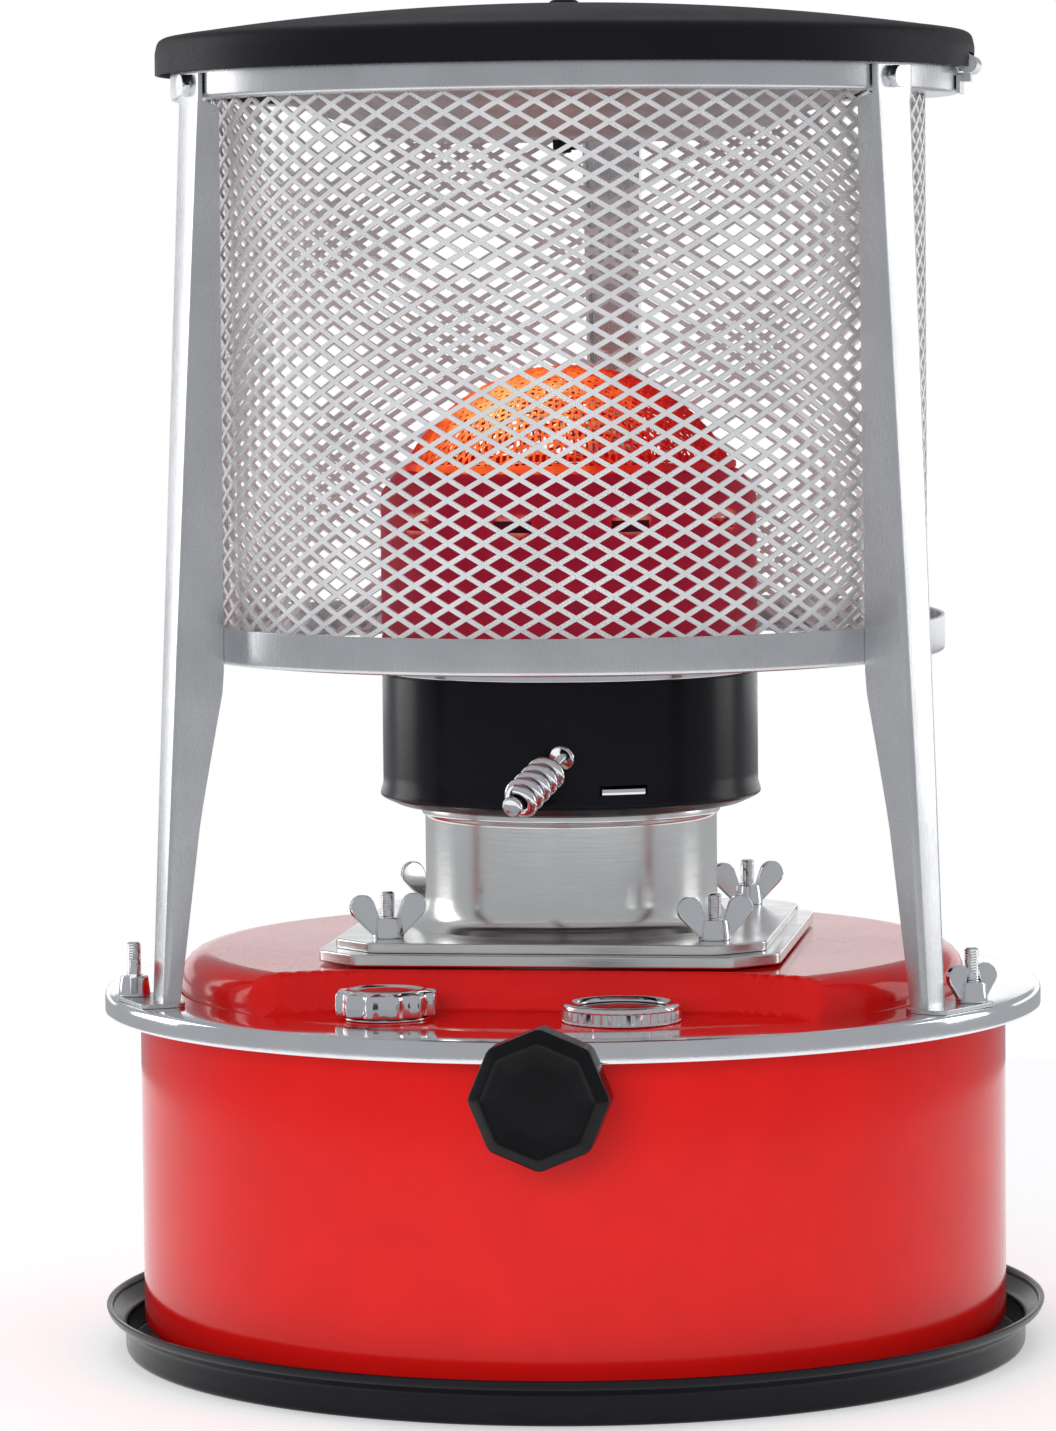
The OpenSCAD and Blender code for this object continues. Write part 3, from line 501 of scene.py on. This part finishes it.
def build_tray():
    wall_r, lip_r = 157.5, 164.3
    tray = [(0, 0.4), (60, 0.4), (64, 0), (152, 0), (wall_r, 0, 2.5), (wall_r, 10, 2),
            (lip_r - 1, 13.6, 1.5), (lip_r, 16.5, 0.8), (lip_r - 2.2, 16.3, 0.6), (lip_r - 2.6, 14.6)]
    add_piece("drip_tray", lathe(rounded(tray, 1.0, 4), 160), "drip_tray", wall=1.2)
    pad = lathe(rounded([(0, 1.2), (9, 1.2), (9, 8), (0, 8)], 1.5), 32)
    feet = [moved(pad, polar(angle, 120)) for angle in (30, 150, 270)]
    add_piece("tank_spacers", joined(*feet), "tank_spacers", slot="gasket_rubber")


def build_tank():
    tank_r, seam_z = 150.8, 124
    shell = [(30, 8), (tank_r - 20, 8), (tank_r - 14, 9.2), (tank_r, 8.6, 4), (tank_r, 60),
             (tank_r, seam_z)]
    add_piece("tank_shell", lathe(rounded(shell, 2.0, 5), 192), "tank_shell", wall=1.0)
    add_piece("tank_top", tank_top(), "tank_top", wall=1.0, smooth=60)
    ring = [(136.8, 126.2), (138, 126.8, 0.8), (150, 126.8), (163, 126.8, 2.2), (163, 119.5, 0.8),
            (161.7, 119.4), (161.7, 124.4, 1.2), (151, 125), (136.8, 125), (136.8, 126.2)]
    add_piece("collar_ring", lathe(rounded(ring, 0.5, 4), 192), "collar_ring")


def pressed(x, y):
    """How far a point of the deck is pressed down: 1 in the front pocket, 0 on the deck.

    The pocket's back wall is straight in the middle and bends forward softly at both ends."""
    straight_half, back_y, slope = 66, -83, 0.525
    softness, wall = 5.0, 5.0
    slant = softness * math.log1p(math.exp((abs(x) - straight_half) / softness))
    inside = back_y - slope * slant - y
    t = min(1.0, max(0.0, inside / wall + 0.6))
    return t * t * (3 - 2 * t)


def tank_top():
    """The deck: one pressing with a pocket in front for the filler cap and the gauge."""
    deck_z, pocket_z, brim_z = 140.0, 127.0, 125.2
    hole_r, edge_r, fillet = 48.0, 136.5, 10.0
    sides, fillet_steps, filler_hole_r = 360, 6, 12.6
    cap = polar(*CAP_PLACE) @ Vector((0, 0, 0))
    flat = int(edge_r - fillet - hole_r) + 1
    rows = []
    for i in range(sides):
        angle = TAU * i / sides
        across, along = math.cos(angle), math.sin(angle)
        row = []
        for j in range(flat + 1):
            radius = hole_r + (edge_r - fillet - hole_r) * j / flat
            sunk = pressed(radius * across, radius * along)
            row.append((radius * across, radius * along, deck_z + (pocket_z - deck_z) * sunk))
        for j in range(1, fillet_steps + 1):
            turn = math.radians(90 / fillet_steps * j)
            radius = edge_r - fillet + fillet * math.sin(turn)
            top = deck_z + (pocket_z - deck_z) * pressed(radius * across, radius * along)
            drop = min(fillet, top - brim_z - 0.3)
            row.append((radius * across, radius * along, top - drop * (1 - math.cos(turn))))
        row.append((edge_r * across, edge_r * along, brim_z))
        rows.append(row)

    def clear_of_filler(corners):
        return all((corner.xy - cap.xy).length > filler_hole_r for corner in corners)

    return grid(rows, around=True, keep=clear_of_filler)


# ---------- filler cap and gauge ----------

def build_cap():
    place = polar(*CAP_PLACE)
    top_z = 136.7
    lobes, lobe_depth = 12, 1.9

    def scallops(angle, radius, height):
        lobe = (0.5 - 0.5 * math.cos(lobes * angle)) ** 1.6
        grip = min(1.0, max(0.0, (radius - 12.5) / 3))
        return radius - lobe_depth * grip * (1 - lobe)

    cap = [(0, top_z - 0.5), (9, top_z - 0.5), (11, top_z - 0.9), (13, top_z, 1.2),
           (17.4, top_z - 0.6, 1.8), (17.5, 131, 1), (17.2, 128.3, 0.6), (13, 128.3), (13, 133.2),
           (0, 133.2)]
    shape = lathe(rounded(cap, 0.8, 4), 144, scallops)
    add_piece("filler_cap", moved(shape, place), "filler_cap", smooth=50)
    seal = [(8.5, 132.1), (12.4, 132.1), (12.4, 133.3), (8.5, 133.3), (8.5, 132.1)]
    add_piece("cap_gasket", moved(lathe(rounded(seal, 0.4), 48), place), "cap_gasket")
    neck = [(11.3, 122), (11.3, 131.4, 0.5), (12.5, 131.5, 0.5), (12.5, 128), (15, 127.8, 0.4),
            (15, 127.0), (12.5, 127.0), (12.5, 122), (11.3, 122)]
    pitch, thread_depth = 1.5, 0.25

    def thread(angle, radius, height):
        phase = (height / pitch - angle / TAU) % 1
        return radius - thread_depth * abs(2 * phase - 1) if 12 < radius < 13 else radius

    add_piece("filler_neck", moved(lathe(rounded(neck, 0.3), 64, thread), place), "filler_neck")


def build_gauge():
    place = polar(*GAUGE_PLACE)
    knurls, knurl_depth = 40, 0.8

    def knurled(angle, radius, height):
        cut = knurl_depth * (0.5 - 0.5 * math.cos(knurls * angle))
        return radius - cut if radius > 19 and 127.6 < height < 131.4 else radius

    bezel = [(18.2, 127.1), (20, 127.1, 0.4), (20, 128), (20, 131), (20, 131.8), (19.6, 133.0, 0.8),
             (17.6, 133.4, 0.8), (15.6, 132.0, 0.5), (15.5, 131.4), (18.2, 131.4), (18.2, 127.1)]
    shape = lathe(rounded(bezel, 0.3), 160, knurled)
    add_piece("gauge_bezel", moved(shape, place), "gauge_bezel", smooth=50)
    lens = [(0, 132.2), (6, 132.05), (11, 131.7), (15.4, 131.3), (17, 131.0), (17, 130), (0, 130)]
    add_piece("gauge_glass", moved(lathe(rounded(lens, 0.4), 64), place), "gauge_glass", smooth=50)
    marks_apart, mark_circle_r = 26.3, 14.5
    marks = []
    for step in range(-2, 3):
        length = 3.2 if step % 2 == 0 else 2.0
        bar = rounded_prism([(-0.3, 0), (0.3, 0), (0.3, length), (-0.3, length)], 128.5, 128.75, 0.1)
        marks.append(moved(bar, turned(step * marks_apart) @ shifted(0, mark_circle_r - length, 0)))
    scale = moved(joined(*marks), place @ turned(-108.5))
    add_piece("gauge_marks", scale, body="heater", slot="wick_cotton", bevel=0)
    disc = [(3.4, 128), (16.3, 128), (16.3, 128.5), (3.4, 128.5), (3.4, 128)]
    add_piece("gauge_dial", moved(lathe(rounded(disc, 0.2), 64), place), "gauge_dial")
    arrow = [(-3.5, -0.9), (2, -0.9), (13.5, -0.15), (13.5, 0.15), (2, 0.9), (-3.5, 0.9)]
    pointer = rounded_prism(arrow, 128.9, 129.5, 0.2)
    hub = lathe(rounded([(0, 119), (3, 119), (3, 128.8), (2.6, 128.8), (2.6, 129.8), (0, 129.9)], 0.3), 32)
    add_piece("gauge_needle", moved(joined(moved(pointer, turned(35)), hub), place), "gauge_needle")


# ---------- throat, wicks and knob ----------

def build_throat():
    foot_z, rim_z = 148.2, 190.0
    half = 79

    def plate(size, cut, low, high):
        corners = [(-size, cut - size), (cut - size, -size), (size - cut, -size), (size, cut - size),
                   (size, size - cut), (size - cut, size), (cut - size, size), (-size, size - cut)]
        return rounded_prism(corners, low, high, 3.0)

    column = [(47.5, 141), (47.5, 172), (45.6, 172.2), (45.6, 184), (47.5, 184.2), (47.5, rim_z - 0.4),
              (48.2, rim_z), (51.4, rim_z, 0.6), (52, rim_z - 0.8), (52, rim_z - 3, 0.6),
              (50.8, rim_z - 4.2, 0.8), (50.8, 156, 3), (53.6, 150.8, 3), (58.5, foot_z, 0.5)]
    tube = lathe(rounded(column, 0.4, 4), 160)
    shape = joined(plate(half, 15, 140.8, 144.8), plate(half - 5, 15, 144.8, foot_z), tube)
    add_piece("throat", shape, "throat", bevel=0.7)
    corners = [(sx * 56, sy * 56) for sx in (-1, 1) for sy in (-1, 1)]
    studs = [moved(threaded_rod(2.5, 140, 164), shifted(x, y, 0)) for x, y in corners]
    add_piece("throat_studs", joined(*studs), "throat_studs", bevel=0, smooth=60)
    nuts = [moved(wing_nut(27, 15, 2.6), shifted(x, y, foot_z) @ turned(25)) for x, y in corners]
    add_piece("throat_wing_nuts", joined(*nuts), "throat_wing_nuts", bevel=0.6, smooth=40)


def build_wicks():
    """Ten braided cotton wicks in a ring."""
    steps = 80
    side = [(4.4, 12.5 + 160.5 * i / steps) for i in range(steps + 1)]
    outline = [(0, 12)] + side + [(3.4, 174), (0, 173.6)]

    def braid(angle, radius, height):
        lay = height * 0.9
        bulge = 0.12 * math.cos(6 * angle + lay) * math.cos(6 * angle - lay)
        return radius + bulge if radius > 4 else radius

    wicks = [moved(lathe(outline, 36, braid), polar(270 + 36 * i, 38.5)) for i in range(10)]
    add_piece("wicks", joined(*wicks), "wicks", bevel=0, smooth=80)


def build_knob():
    """The octagonal wick knob, its axis along Y. Its eight corners are cut back a little."""
    across, depth, corner_cut = 23.5, 16.8, 0.985
    place = shifted(11.7, -164.2, 110) @ turned(90, "X")

    def octagon(angle, radius, height):
        turn = angle % (math.pi / 4) - math.pi / 8
        flat = math.cos(math.pi / 8) / math.cos(turn)
        return radius * min(flat, corner_cut)

    body = [(18.5, 4), (18.5, 0.3), (across - 0.8, 0), (across - 0.4, 1.2),
            (across - 0.2, depth - 3.4, 0.6), (across - 3.2, depth - 0.9, 0.8),
            (across - 4.4, depth - 0.1, 0.5), (across - 5.6, depth - 0.7, 0.5), (12, depth - 0.9),
            (0, depth - 0.9)]
    inside = [(18.5, 4), (3.1, 4), (3.1, 0)]
    shape = joined(lathe(rounded(body, 0.6, 4), 128, octagon), lathe(inside, 64))
    add_piece("knob", moved(shape, place), "knob", smooth=24)


# ---------- burner ----------

def build_burner_collar():
    """The black collar, with a slot through its wall whose lower edge is folded out bright."""
    low, top, radius = 190.0, 236.0, 65.3
    slot_start, slot_columns, sides = 285.8, 6, 144
    slot_low, slot_high = 197.4, 200.8
    fold_steps = 12
    first = math.radians(slot_start)
    slot_end = first + TAU * slot_columns / sides
    wall = [(34, low + 0.1), (52, low), (59.5, low, 1), (radius + 0.9, low + 3.0, 2),
            (radius + 0.9, low + 4.6, 1), (radius, slot_low, 0), (radius, slot_high, 0),
            (radius, 216, 0), (radius, top - 0.4), (radius - 0.6, top)]

    def beside_slot(corners):
        x, y, z = middle_of(corners)
        return not (slot_low < z < slot_high and first < math.atan2(y, x) % TAU < slot_end)

    shape = lathe(rounded(wall, 0.6, 4), sides, start=first, keep=beside_slot)
    add_piece("burner_collar", shape, "burner_collar", wall=1.3)
    lip = [(64.4, 197.6), (65.7, 197.7), (66.0, 198.6), (65.8, 199.6), (64.4, 199.8), (64.4, 197.6)]
    fold = []
    for i in range(fold_steps + 1):
        angle = first + (slot_end - first) * (0.06 + 0.88 * i / fold_steps)
        fold.append([(r * math.cos(angle), r * math.sin(angle), z) for r, z in lip])
    add_piece("slot_fold", grid(fold), body="burner", slot="chrome_plate", bevel=0)
    rim = [(59.3, top), (65, top, 0.3), (65, 239.9, 0.3), (63.8, 240), (63.8, 237.2), (59.3, 237.2),
           (59.3, top)]
    add_piece("burner_rim", lathe(rounded(rim, 0.3), 144), "burner_rim")


def dome_height(x, y):
    rim_r, rim_z, top_z = 57.5, 306.0, 342.0
    rise = top_z - rim_z
    ball_r = (rim_r ** 2 + rise ** 2) / (2 * rise)
    return top_z - ball_r + math.sqrt(ball_r ** 2 - x * x - y * y) - 0.8


def build_dome():
    """Woven gauze over the flame, held in a narrow rim."""
    rim_r, pitch = 56.8, 2.3
    lines = int(rim_r / pitch)
    wires = []
    for i in range(-lines, lines + 1):
        offset = i * pitch
        reach = math.sqrt(rim_r ** 2 - offset ** 2)
        count = max(2, int(2 * reach / pitch))
        for along_x in (True, False):
            path = []
            for j in range(count + 1):
                s = -reach + 2 * reach * j / count
                x, y = (s, offset) if along_x else (offset, s)
                weave = 0.3 * (-1) ** (i + j + (0 if along_x else 1))
                path.append((x, y, dome_height(x, y) + weave))
            wires.append(wire(path, 0.42, sides=4))
    band = [(58.4, 306.1), (58.4, 308.2), (56.6, 308.9), (55.6, 307.6), (55.6, 306.1), (58.4, 306.1)]
    rim = lathe(rounded(band, 0.5), 96)
    add_piece("dome_mesh", joined(rim, *wires), "dome_mesh", bevel=0, smooth=60)


def build_flame_cylinders():
    """The glowing outer cylinder with slots near its shoulder, and the inner one."""
    radius, low, shoulder = 65.3, 240.0, 298.0
    sides = 180
    first = math.radians(FIRST_FLAME_SLOT)
    wall = [(60.4, low + 0.6), (63.6, low + 0.5), (radius, low + 2.2, 1.5), (radius, 248, 0),
            (radius - 0.6, 250, 0.8), (radius, 252, 0), (radius, FLAME_SLOT_LOW, 0),
            (radius, FLAME_SLOT_HIGH, 0), (radius, shoulder, 2.5), (59.5, 305.6, 2.5), (54.6, 306)]

    def beside_slots(corners):
        x, y, z = middle_of(corners)
        share = ((math.atan2(y, x) - first) / TAU * FLAME_SLOTS) % 1
        return not (FLAME_SLOT_LOW < z < FLAME_SLOT_HIGH and share < FLAME_SLOT_SHARE)

    shape = lathe(rounded(wall, 0.8, 4), sides, start=first, keep=beside_slots)
    add_piece("outer_flame_cylinder", shape, "outer_flame_cylinder", wall=0.9)
    core = [(36, 192), (36, 205, 0), (35.4, 206, 0.5), (36, 207, 0), (36, 297), (35.2, 299.6)]
    add_piece("inner_flame_cylinder", lathe(rounded(core, 0.5), 120), "inner_flame_cylinder", wall=0.9)


def build_handle():
    """The coiled wire grip on the burner's handle."""
    place = shifted(6.4, -64.4, 211.5) @ turned(-113) @ turned(113, "Y")
    turns, pitch, mean_r, wire_r = 4.5, 5.0, 4.8, 1.9
    coil_end = 36.2
    start = coil_end - turns * pitch - wire_r
    steps = 24
    path = []
    for i in range(int(turns * steps) + 1):
        angle = TAU * i / steps
        path.append((mean_r * math.cos(angle), mean_r * math.sin(angle), start + pitch * i / steps))
    add_piece("handle_coil", moved(wire(path, wire_r, 10), place), "handle_coil", bevel=0, smooth=60)
    stem = [(0, 2.6), (1.6, 2.6), (1.6, 36.5), (3.6, 36.5, 0.6), (3.6, 38.5, 0.8), (0, 38.5)]
    rod = lathe(rounded(stem, 0.2), 32)
    core = lathe(rounded([(2.7, 11), (3.0, 11), (3.0, 36), (2.7, 36)], 0.1), 32)
    foot = lathe(rounded([(1.4, 1.2), (4.6, 1.2), (4.4, 2.8), (1.4, 3.2)], 0.4), 32)
    add_piece("handle_rod", moved(joined(rod, foot), place), "handle_rod")
    add_piece("handle_sleeve", moved(core, place), body="burner", slot="black_enamel", wall=0.3, bevel=0)


# ---------- guard ----------

def build_guard_mesh():
    """Flat strands that cross in a diamond lattice."""
    strands, rows = 64, 27
    low, high, radius = 243.7, 433.7, 123.6
    width, thickness, layer_gap = 1.6, 1.2, 0.12
    rise = (high - low) / (2 * rows)
    run = TAU * radius / (2 * strands)
    ribbons = []
    for side in (1, -1):
        across_z = width / 2 * run / math.hypot(rise, run)
        across_angle = -side * width / 2 * rise / math.hypot(rise, run) / radius
        for strand in range(strands):
            path = []
            for step in range(2 * rows + 1):
                angle = TAU * (strand + side * step / 2) / strands
                z = low + rise * step
                corners = []
                for edge, depth in ((-1, -1), (1, -1), (1, 1), (-1, 1), (-1, -1)):
                    r = radius + side * layer_gap + depth * thickness / 2
                    a = angle + edge * across_angle
                    at_z = min(high, max(low, z + edge * across_z))
                    corners.append((r * math.cos(a), r * math.sin(a), at_z))
                path.append(corners)
            ribbons.append(grid(path))
    add_piece("guard_mesh", joined(*ribbons), "guard_mesh", bevel=0)


def build_rings():
    """Two angle rings, each an upright wall with its lower edge turned inwards."""
    inner, sheet = 121, 1.2
    rings = (("lower_ring", 242.5, 255.0, 130.4), ("upper_ring", 433.7, 454.0, 136.0))
    for name, low, high, outer in rings:
        band = [(inner, low), (outer, low, 1.6), (outer, low + 5), (outer, high, 0.5),
                (outer - sheet, high, 0.4), (outer - sheet, low + sheet, 0.8), (inner, low + sheet),
                (inner, low)]
        add_piece(name, lathe(rounded(band, 0.4, 4), 160), name)


def leg_inner(z):
    """Distance from the axis of a leg's inner edge, which leans out below the guard."""
    points = [(126.82, 147.0), (190, 139.0), (214, 134.5), (236, 130.2), (430.7, 130.2), (432.7, 136.1),
              (442, 136.1)]
    for (low_z, low_r), (high_z, high_r) in zip(points, points[1:]):
        if z <= high_z:
            return low_r + (high_r - low_r) * (z - low_z) / (high_z - low_z)
    return points[-1][1]


def leg_channel():
    """A pressed channel, open towards the axis, that narrows to its foot."""
    foot_z, bend_z, top_z = 126.82, 430.0, 442.0
    foot_face, lean = 152.8, 15.2
    foot_half, widening = 6.5, 4.4
    steps = 40
    heights = [foot_z + (bend_z - foot_z) * i / steps for i in range(steps + 1)]
    rows = []
    for z in heights + [431, 432.7, 436, top_z]:
        half = foot_half + widening * ((z - foot_z) / (top_z - foot_z))
        face = foot_face - lean * min(1.0, (z - foot_z) / (bend_z - foot_z))
        inner = leg_inner(z)
        outline = rounded([(inner, -half), (face, -half), (face, half), (inner, half)], 2.2, 5)
        rows.append([(x, y, z) for x, y in outline])
    return grid(rows)


def build_legs():
    """The legs, each with a foot plate, a stud and a wing nut beside it."""
    plate_z, plate_top = 126.85, 128.35
    corners = [(145, -9), (161, -9), (161, 25), (145, 25)]
    studs, nuts = [], []
    for name, angle, side in LEGS:
        foot = rounded_prism([(x, side * y) for x, y in corners], plate_z, plate_top, 4.0)
        place = turned(angle)
        add_piece(name, moved(leg_channel(), place), name, wall=1.2)
        add_piece(name + "_foot", moved(foot, place), body="heater", slot="zinc_steel")
        stud_place = place @ shifted(155, 18 * side, 0)
        studs.append(moved(threaded_rod(2.5, 126.8, 146.8), stud_place))
        nuts.append(moved(wing_nut(20, 13, 2.6), stud_place @ shifted(0, 0, plate_top) @ turned(70)))
    add_piece("foot_studs", joined(*studs), "foot_studs", bevel=0, smooth=60)
    add_piece("foot_wing_nuts", joined(*nuts), "foot_wing_nuts", bevel=0.5, smooth=40)


def build_fixings():
    """Radial screws and bolts that hold the legs to the rings."""
    screw_z, bolt_z = 249, 438
    head = lathe(rounded([(0, 131.6), (3.6, 131.6, 0.3), (3.4, 133, 1.2), (0, 133.8)], 0.6), 32)
    screw = joined(threaded_rod(2.0, 125, 132.6), head, hexagon(6.8, 125.6, 129.1))
    bolt = joined(threaded_rod(2.0, 128, 138.6), hexagon(8.4, 137.6, 140.6), hexagon(6.0, 130, 134.7))
    screws, bolts = [], []
    for _, angle, _ in LEGS:
        lying = turned(angle) @ turned(90, "Y")
        screws.append(moved(screw, shifted(0, 0, screw_z) @ lying))
        bolts.append(moved(bolt, shifted(0, 0, bolt_z) @ lying))
    add_piece("ring_screws", joined(*screws), "ring_screws", bevel=0)
    add_piece("leg_bolts", joined(*bolts), "leg_bolts", bevel=0)


# ---------- lid ----------

def build_lid():
    """The domed lid with its turned-down skirt, and the heat deflector under it.

    The skirt has a gap for the hinge, up to gap_top_z."""
    seat_z, crown_z, shoulder_r, lid_r = 455.6, 466.0, 136.0, 141.3
    gap_top_z = 447.5
    crown = [(r, seat_z + (crown_z - seat_z) * (1 - (r / shoulder_r) ** 2)) for r in range(4, 129, 4)]
    skirt = [(132, seat_z + 0.7), (lid_r - 1.2, seat_z - 0.6, 4), (lid_r, 450, 1), (lid_r, 443.4),
             (lid_r, 442.5)]

    def beside_hinge(corners):
        x, y, z = middle_of(corners)
        return not (x > 130 and abs(y) < 15 and z < gap_top_z)

    wall = with_height(rounded(crown + skirt, 2.0, 5), gap_top_z)
    shape = lathe(wall, 192, keep=beside_hinge)
    add_piece("lid", shape, "lid", look="lid_enamel", wall=1.3, smooth=45)
    dish = [(2.6, 420.4), (52, 420.4), (58, 420.4, 6), (101, 435.4, 2), (102.6, 436.4, 0.5),
            (102.8, 435.6)]
    add_piece("heat_deflector", lathe(rounded(dish, 2.0, 5), 128), "heat_deflector", wall=0.9)
    spacer = [(2.7, 421), (5, 421, 0.4), (5, 464.3, 0.4), (2.7, 464.3), (2.7, 421)]
    add_piece("deflector_spacer", lathe(rounded(spacer, 0.3), 32), "deflector_spacer")
    button = lathe(rounded([(0, 465.9), (6, 465.9, 0.3), (4, 467.8, 1.5), (0, 468)], 0.8), 48)
    bolt = joined(threaded_rod(2.5, 415, 466), hexagon(9.2, 416, 420), button)
    add_piece("deflector_bolt", bolt, "deflector_bolt", look="lid_enamel", bevel=0)


def with_height(outline, height):
    """The outline with a point added where it passes a height, so that faces can end there."""
    result = [outline[0]]
    for (r0, z0), (r1, z1) in zip(outline, outline[1:]):
        if min(z0, z1) < height < max(z0, z1):
            share = (height - z0) / (z1 - z0)
            result.append((r0 + (r1 - r0) * share, height))
        result.append((r1, z1))
    return result


# ---------- the rest of the CAD's parts ----------

def dress_cad_nodes():
    """CAD parts whose shape is right stay, in their real finishes."""
    for name, item in frame["nodes"].items():
        item.data.materials.clear()
        item.data.materials.append(MATERIALS[SLOT_OF[name]])
        for polygon in item.data.polygons:
            polygon.material_index = 0


# ---------- floor and light ----------

def make_floor():
    """A pale round studio floor, which ends where the white room begins."""
    radius, sides = 0.75, 96
    mesh = bpy.data.meshes.new("floor")
    angles = [TAU * i / sides for i in range(sides)]
    corners = [(radius * math.cos(angle), radius * math.sin(angle), 0) for angle in angles]
    mesh.from_pydata(corners, [], [list(range(sides))])
    look = finish("floor", (0.90, 0.90, 0.90), roughness=0.7, tint=0.01, grain=60.0, bump=0.02,
                  Emission_Color=rgba((1, 1, 1)), Emission_Strength=0.4)
    mesh.materials.append(look)
    floor = bpy.data.objects.new("floor", mesh)
    bpy.context.scene.collection.objects.link(floor)


def make_light(name, place, size, power, shiny=True):
    """A soft light aimed at the heater. One that isn't shiny leaves no reflection."""
    data = bpy.data.lights.new(name, "AREA")
    data.shape = "RECTANGLE"
    data.size, data.size_y = size
    data.energy = power
    light = bpy.data.objects.new(name, data)
    light.location = place
    light.rotation_euler = (Vector((0, 0, 0.25)) - Vector(place)).to_track_quat("-Z", "Y").to_euler()
    light.visible_camera = False
    light.visible_glossy = shiny
    bpy.context.scene.collection.objects.link(light)


def make_world():
    """A white room for the camera, and a softer grey one for light and reflections."""
    world = bpy.data.worlds.new("studio")
    bpy.context.scene.world = world
    world.use_nodes = True
    tree = world.node_tree
    tree.nodes.clear()
    white = add_node(tree, "Background", {"Color": rgba((1.0, 1.0, 1.0)), "Strength": 1.0})
    soft = add_node(tree, "Background", {"Color": rgba((0.93, 0.95, 1.0)), "Strength": 0.42})
    seen = add_node(tree, "LightPath").outputs["Is Camera Ray"]
    both = add_node(tree, "MixShader", {0: seen, 1: soft.outputs[0], 2: white.outputs[0]})
    add_node(tree, "OutputWorld", {"Surface": both.outputs[0]})


def make_studio():
    make_floor()
    make_world()
    make_light("front", (-0.3, -2.8, 0.9), (1.4, 1.0), 27, shiny=False)
    make_light("left", (-1.9, 0.8, 0.7), (0.9, 1.4), 8)
    make_light("right", (1.9, 0.9, 0.7), (0.7, 1.4), 5.5)
    make_light("top", (0.0, -0.2, 2.2), (1.6, 1.6), 9, shiny=False)
    make_light("back", (0.0, 2.4, 0.28), (4.0, 0.5), 4.5)
    bpy.context.scene.view_settings.view_transform = "Standard"


dress_cad_nodes()
build_tray()
build_tank()
build_cap()
build_gauge()
build_throat()
build_wicks()
build_knob()
build_burner_collar()
build_dome()
build_flame_cylinders()
build_handle()
build_guard_mesh()
build_rings()
build_legs()
build_fixings()
build_lid()
make_studio()
